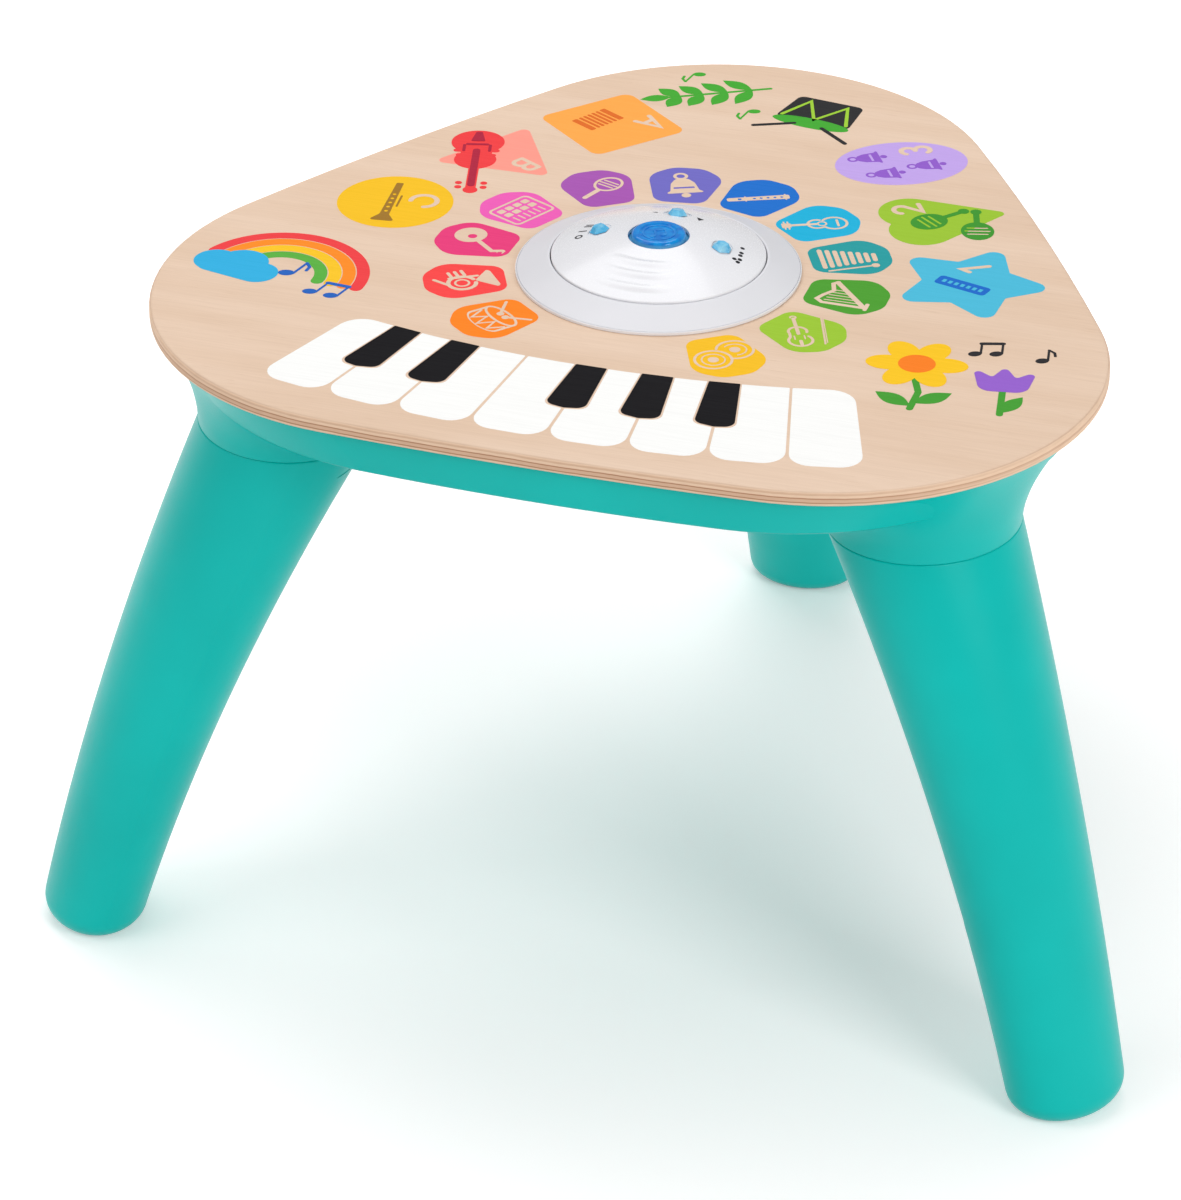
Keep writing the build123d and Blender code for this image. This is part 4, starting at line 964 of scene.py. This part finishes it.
def dome_height(radius):
    """Height of the dome's skin above the wood, in millimetres."""
    share = (DOME_RADIUS - radius) / (DOME_RADIUS - DOME_CROWN_RADIUS)
    return DOME_EDGE + (DOME_CROWN - DOME_EDGE) * share + 4 * DOME_SWELL * share * (1 - share)


def on_dome(radius, angle, lift):
    """Point over the dome in the part's frame, lift in millimetres."""
    a = math.radians(angle)
    return (HUB_X + radius * math.cos(a) * MM, HUB_Y + radius * math.sin(a) * MM,
            TOP_Z + (dome_height(radius) + lift) * MM)


def dome_ridges():
    """Three soft raised arcs on the front of the dome, fading at their ends."""
    along, across = RIDGE_STEPS
    for k, (radius, half_span) in enumerate(zip(RIDGE_RADII, RIDGE_HALF_SPANS)):
        mesh = bmesh.new()
        rows = []
        for i in range(along + 1):
            u = 2 * i / along - 1
            fade = math.cos(math.pi / 2 * u) ** 1.5 if abs(u) < 1 else 0.0
            row = []
            for j in range(across + 1):
                v = 2 * j / across - 1
                lift = RIDGE_HEIGHT * fade * math.cos(math.pi / 2 * v) ** 2 - RIDGE_SUNK
                place = on_dome(radius + v * RIDGE_WIDTH / 2, FRONT_ANGLE + u * half_span, lift)
                row.append(mesh.verts.new(place))
            rows.append(row)
        for low, high in zip(rows[:-1], rows[1:]):
            for j in range(across):
                mesh.faces.new((low[j], high[j], high[j + 1], low[j + 1])).smooth = True
        finish_piece(f"dome_ridge_{k + 1}", mesh, WHITE, "table")


MARK_LIFT = 0.08
LEFT_MARKS = (43.4, 175.0)
REAR_MARKS = (34.0, 90.0)
RIGHT_MARKS = (44.3, 5.0)
WEDGE_ROUND = 0.15
DOT_RADIUS = 1.2
DOT_PLACES = ((-7.0, 0), (-1.5, 0), (1.5, 0), (5.6, -0.9), (8.6, -0.9), (7.1, 1.6))


def dome_marks(name, shapes, reach, angle, material):
    """Tiny printed marks wrapped on the dome: local X runs round the hub, Y towards it."""
    def lifted(lift):
        return lambda x, y: on_dome(reach - y, angle - math.degrees(x / reach), lift)

    mesh = bmesh.new()
    for loops in shapes:
        slab(mesh, loops, lifted(-MARK_LIFT), lifted(MARK_LIFT))
    finish_piece(name, mesh, material, "table")


def hub_marks():
    """Plain switch marks: off and two steps, loudness wedges, and one to three dots."""
    dark = ink("mark_ink", linear(40, 40, 46))
    off_steps = [hoop(-7.4, 0, 1.7, 0.9)] + [bar(x, -1.9, x, 1.9, 1.1) for x in (-0.4, 5.8, 8.0)]
    dome_marks("left_marks", off_steps, *LEFT_MARKS, dark)
    quiet = [[eased([(-13.6, -1.5), (-10.8, -1.5), (-10.8, 0.7)], WEDGE_ROUND)]]
    loud = [[eased([(10.4, -1.7), (15.0, -1.7), (15.0, 2.6)], WEDGE_ROUND)]]
    dome_marks("rear_marks", quiet + loud, *REAR_MARKS, dark)
    dots = [disc(x, y, DOT_RADIUS) for x, y in DOT_PLACES]
    dome_marks("right_marks", dots, *RIGHT_MARKS, dark)


BUTTON_DISH = 0.7 * MM
EMBLEM_SUNK = 0.2 * MM
EMBLEM_RISE = 0.3 * MM
EMBLEM_STEP = 0.01 * MM
EMBLEM_UP = 115.0
EMBLEM_RING = 8.4
BUTTON_PALE = tinted("button_pale", linear(10, 126, 218), linear(50, 158, 236))


def button_emblem():
    """Raised note and ring on the button's dished face."""
    face = BUTTON_TOP - BUTTON_DISH
    shapes = [hoop(0, 0, EMBLEM_RING, 0.9)] + beamed_notes(-3.6, -3.6, 0.72)
    mesh = flat_solids(shapes, stamp(0, 0, EMBLEM_UP), face - EMBLEM_SUNK, face + EMBLEM_RISE, EMBLEM_STEP)
    finish_piece("button_emblem", mesh, BUTTON_PALE, "play_button")


# Leg tops: a wall that closes the slit in each leg, on the side that faces the hub

LEG_ANGLES = {"leg_rear": 90.0, "leg_front_left": 210.0, "leg_front_right": 330.0}
SEAM_HEIGHT = 300.0
SEAM_REACH, SEAM_RADIAL, SEAM_TANGENT = 199.6, 48.3, 52.6
FOOT_RADIAL, FOOT_TANGENT = 28.4, 34.2
LEG_SPLAY, LEG_CURL = 156.5, 35.0
LEG_SLIM_RADIAL, LEG_SLIM_TANGENT = 6.1, 10.6
WALL_SHARES = (0.028, 0.068)
WALL_HALF_SPAN = 74.0
WALL_INSETS = (0.3, 1.9)
WALL_STEPS = (36, 6)


def leg_point(angle, share, side, inset):
    """Point inside a leg's skin: share runs down from the seam, side turns from the hub's side."""
    belly = share * (1 - share)
    reach = SEAM_REACH + LEG_SPLAY * share - LEG_CURL * share**2
    radial = SEAM_RADIAL + (FOOT_RADIAL - SEAM_RADIAL) * share - LEG_SLIM_RADIAL * belly - inset
    tangent = SEAM_TANGENT + (FOOT_TANGENT - SEAM_TANGENT) * share - LEG_SLIM_TANGENT * belly - inset
    turn, a = math.radians(side), math.radians(angle)
    out, along = reach - radial * math.cos(turn), tangent * math.sin(turn)
    return (HUB_X + (out * math.cos(a) - along * math.sin(a)) * MM,
            HUB_Y + (out * math.sin(a) + along * math.cos(a)) * MM, SEAM_HEIGHT * (1 - share) * MM)


def wall_skin(mesh, angle, inset):
    """Adds one smooth skin of a leg's wall and gives the points round its edge, in order."""
    across, down = WALL_STEPS
    top, low = WALL_SHARES
    sides = [WALL_HALF_SPAN * (2 * i / across - 1) for i in range(across + 1)]
    shares = [top + (low - top) * j / down for j in range(down + 1)]
    grid = [[mesh.verts.new(leg_point(angle, share, side, inset)) for side in sides] for share in shares]
    for first, second in zip(grid[:-1], grid[1:]):
        for i in range(across):
            mesh.faces.new((first[i], first[i + 1], second[i + 1], second[i])).smooth = True
    return grid[0] + [row[-1] for row in grid[1:-1]] + grid[-1][::-1] + [row[0] for row in grid[-2:0:-1]]


def neck_walls():
    """Curved wall set into each leg over the slit under its seam."""
    for body, angle in LEG_ANGLES.items():
        mesh = bmesh.new()
        front, back = [wall_skin(mesh, angle, inset) for inset in WALL_INSETS]
        for k in range(len(front)):
            n = (k + 1) % len(front)
            mesh.faces.new((front[k], front[n], back[n], back[k]))
        finish_piece(f"{body}_neck_wall", mesh, TEAL, body)


# Stage: pale floor, soft lamps and the camera

FLOOR_HALF = 7.0
# Painted floor glow by reach from the centre, in metres: low near the table as painted shade, full white far
# out.
NEAR_REACH, NEAR_GLOW = (0.2, 0.55), (0.2, 0.42)
FAR_REACH, FAR_GLOW = (0.8, 2.6), (0.0, 0.58)
ROOM_LIGHT = 0.4
LAMP_AIM = (0, 0, 0.25)
LAMPS = (
    ("key_lamp", (-1.7, -1.4, 1.9), 1.6, 15.4),
    ("fill_lamp", (1.9, -1.3, 1.4), 1.0, 23.2),
    ("top_lamp", (-0.6, 0.8, 2.2), 1.8, 24),
)
SENSOR_WIDTH = 36.0
VIEW_REACH = 30.0
CAMERA_YAW = 18.0
CAMERA_PITCH = 58.99
CAMERA_LENS = 136.5
CAMERA_FROM_HUB = (-36.0, 2155.2, 1091.3)


def floor():
    """Wide pale floor whose camera-seen glow is painted light: weak near the table, so the lamps' shadow near
    the legs reads darker there as painted shade, and rising to white further out.
    """
    data = bpy.data.meshes.new("floor")
    corners = [(x * FLOOR_HALF, y * FLOOR_HALF, 0) for x, y in ((-1, -1), (1, -1), (1, 1), (-1, 1))]
    data.from_pydata(corners, [], [(0, 1, 2, 3)])
    piece = bpy.data.objects.new("floor", data)
    bpy.context.scene.collection.objects.link(piece)
    material, tree, shader = new_material("pale_floor")
    cloud = noise(tree, EVEN, 0.8, 2.0)
    tone = ramp(tree, cloud, ((0.3, linear(249, 243, 243)), (0.7, linear(253, 246, 246))))
    tree.links.new(tone, shader.inputs["Base Color"])
    shader.inputs["Roughness"].default_value = 0.6
    rays = add(tree, "ShaderNodeLightPath").outputs
    seen = maths(tree, "MAXIMUM", rays["Is Camera Ray"], rays["Is Glossy Ray"])
    seen = maths(tree, "MAXIMUM", seen, rays["Is Transmission Ray"])
    coords = add(tree, "ShaderNodeTexCoord").outputs["Object"]
    reach = add(tree, "ShaderNodeVectorMath", {0: coords}, operation="LENGTH").outputs["Value"]
    # Painted glow: weak near the table, deepening the lamps' shadow there as painted shade, and rising to
    # white further out.
    near = spread(tree, reach, *NEAR_REACH, *NEAR_GLOW)
    far = spread(tree, reach, *FAR_REACH, *FAR_GLOW)
    glow = maths(tree, "ADD", near, far)
    tree.links.new(maths(tree, "MULTIPLY", seen, glow), shader.inputs["Emission Strength"])
    shader.inputs["Emission Color"].default_value = PURE_WHITE
    data.materials.append(material)


def lamp(name, place, size, power):
    """Square soft lamp aimed at the table."""
    data = bpy.data.lights.new(name, "AREA")
    data.shape = "SQUARE"
    data.size = size
    data.energy = power
    piece = bpy.data.objects.new(name, data)
    piece.location = place
    piece.rotation_euler = (Vector(LAMP_AIM) - Vector(place)).to_track_quat("-Z", "Y").to_euler()
    bpy.context.scene.collection.objects.link(piece)


def studio():
    """Even light from a bright room, two soft lamps in front and one over the rear left."""
    world = bpy.data.worlds.new("studio")
    bpy.context.scene.world = world
    world.use_nodes = True
    tree = world.node_tree
    background = tree.nodes["Background"]
    background.inputs["Color"].default_value = PURE_WHITE
    seen = add(tree, "ShaderNodeLightPath").outputs["Is Camera Ray"]
    tree.links.new(spread(tree, seen, 0.0, 1.0, ROOM_LIGHT, 1.0), background.inputs["Strength"])
    for settings in LAMPS:
        lamp(*settings)


def camera():
    """Camera near the photograph's viewing angle, turned a little to the front to show the rear leg."""
    data = bpy.data.cameras.new("camera")
    data.lens = CAMERA_LENS
    data.sensor_width = SENSOR_WIDTH
    data.clip_end = VIEW_REACH
    piece = bpy.data.objects.new("camera", data)
    yaw = math.radians(CAMERA_YAW)
    right, back, up = (distance * MM for distance in CAMERA_FROM_HUB)
    piece.location = (HUB_X + right * math.cos(yaw) + back * math.sin(yaw),
                      HUB_Y + right * math.sin(yaw) - back * math.cos(yaw), TOP_Z + up)
    piece.rotation_euler = (math.radians(CAMERA_PITCH), 0, yaw)
    bpy.context.scene.collection.objects.link(piece)
    bpy.context.scene.camera = piece


bpy.context.scene.view_settings.view_transform = "Standard"
dress_frame()
keyboard()
touch_tiles()
letter_shapes()
number_shapes()
rainbow_corner()
leaf_corner()
flower_corner()
dome_ridges()
hub_marks()
button_emblem()
neck_walls()
floor()
studio()
camera()
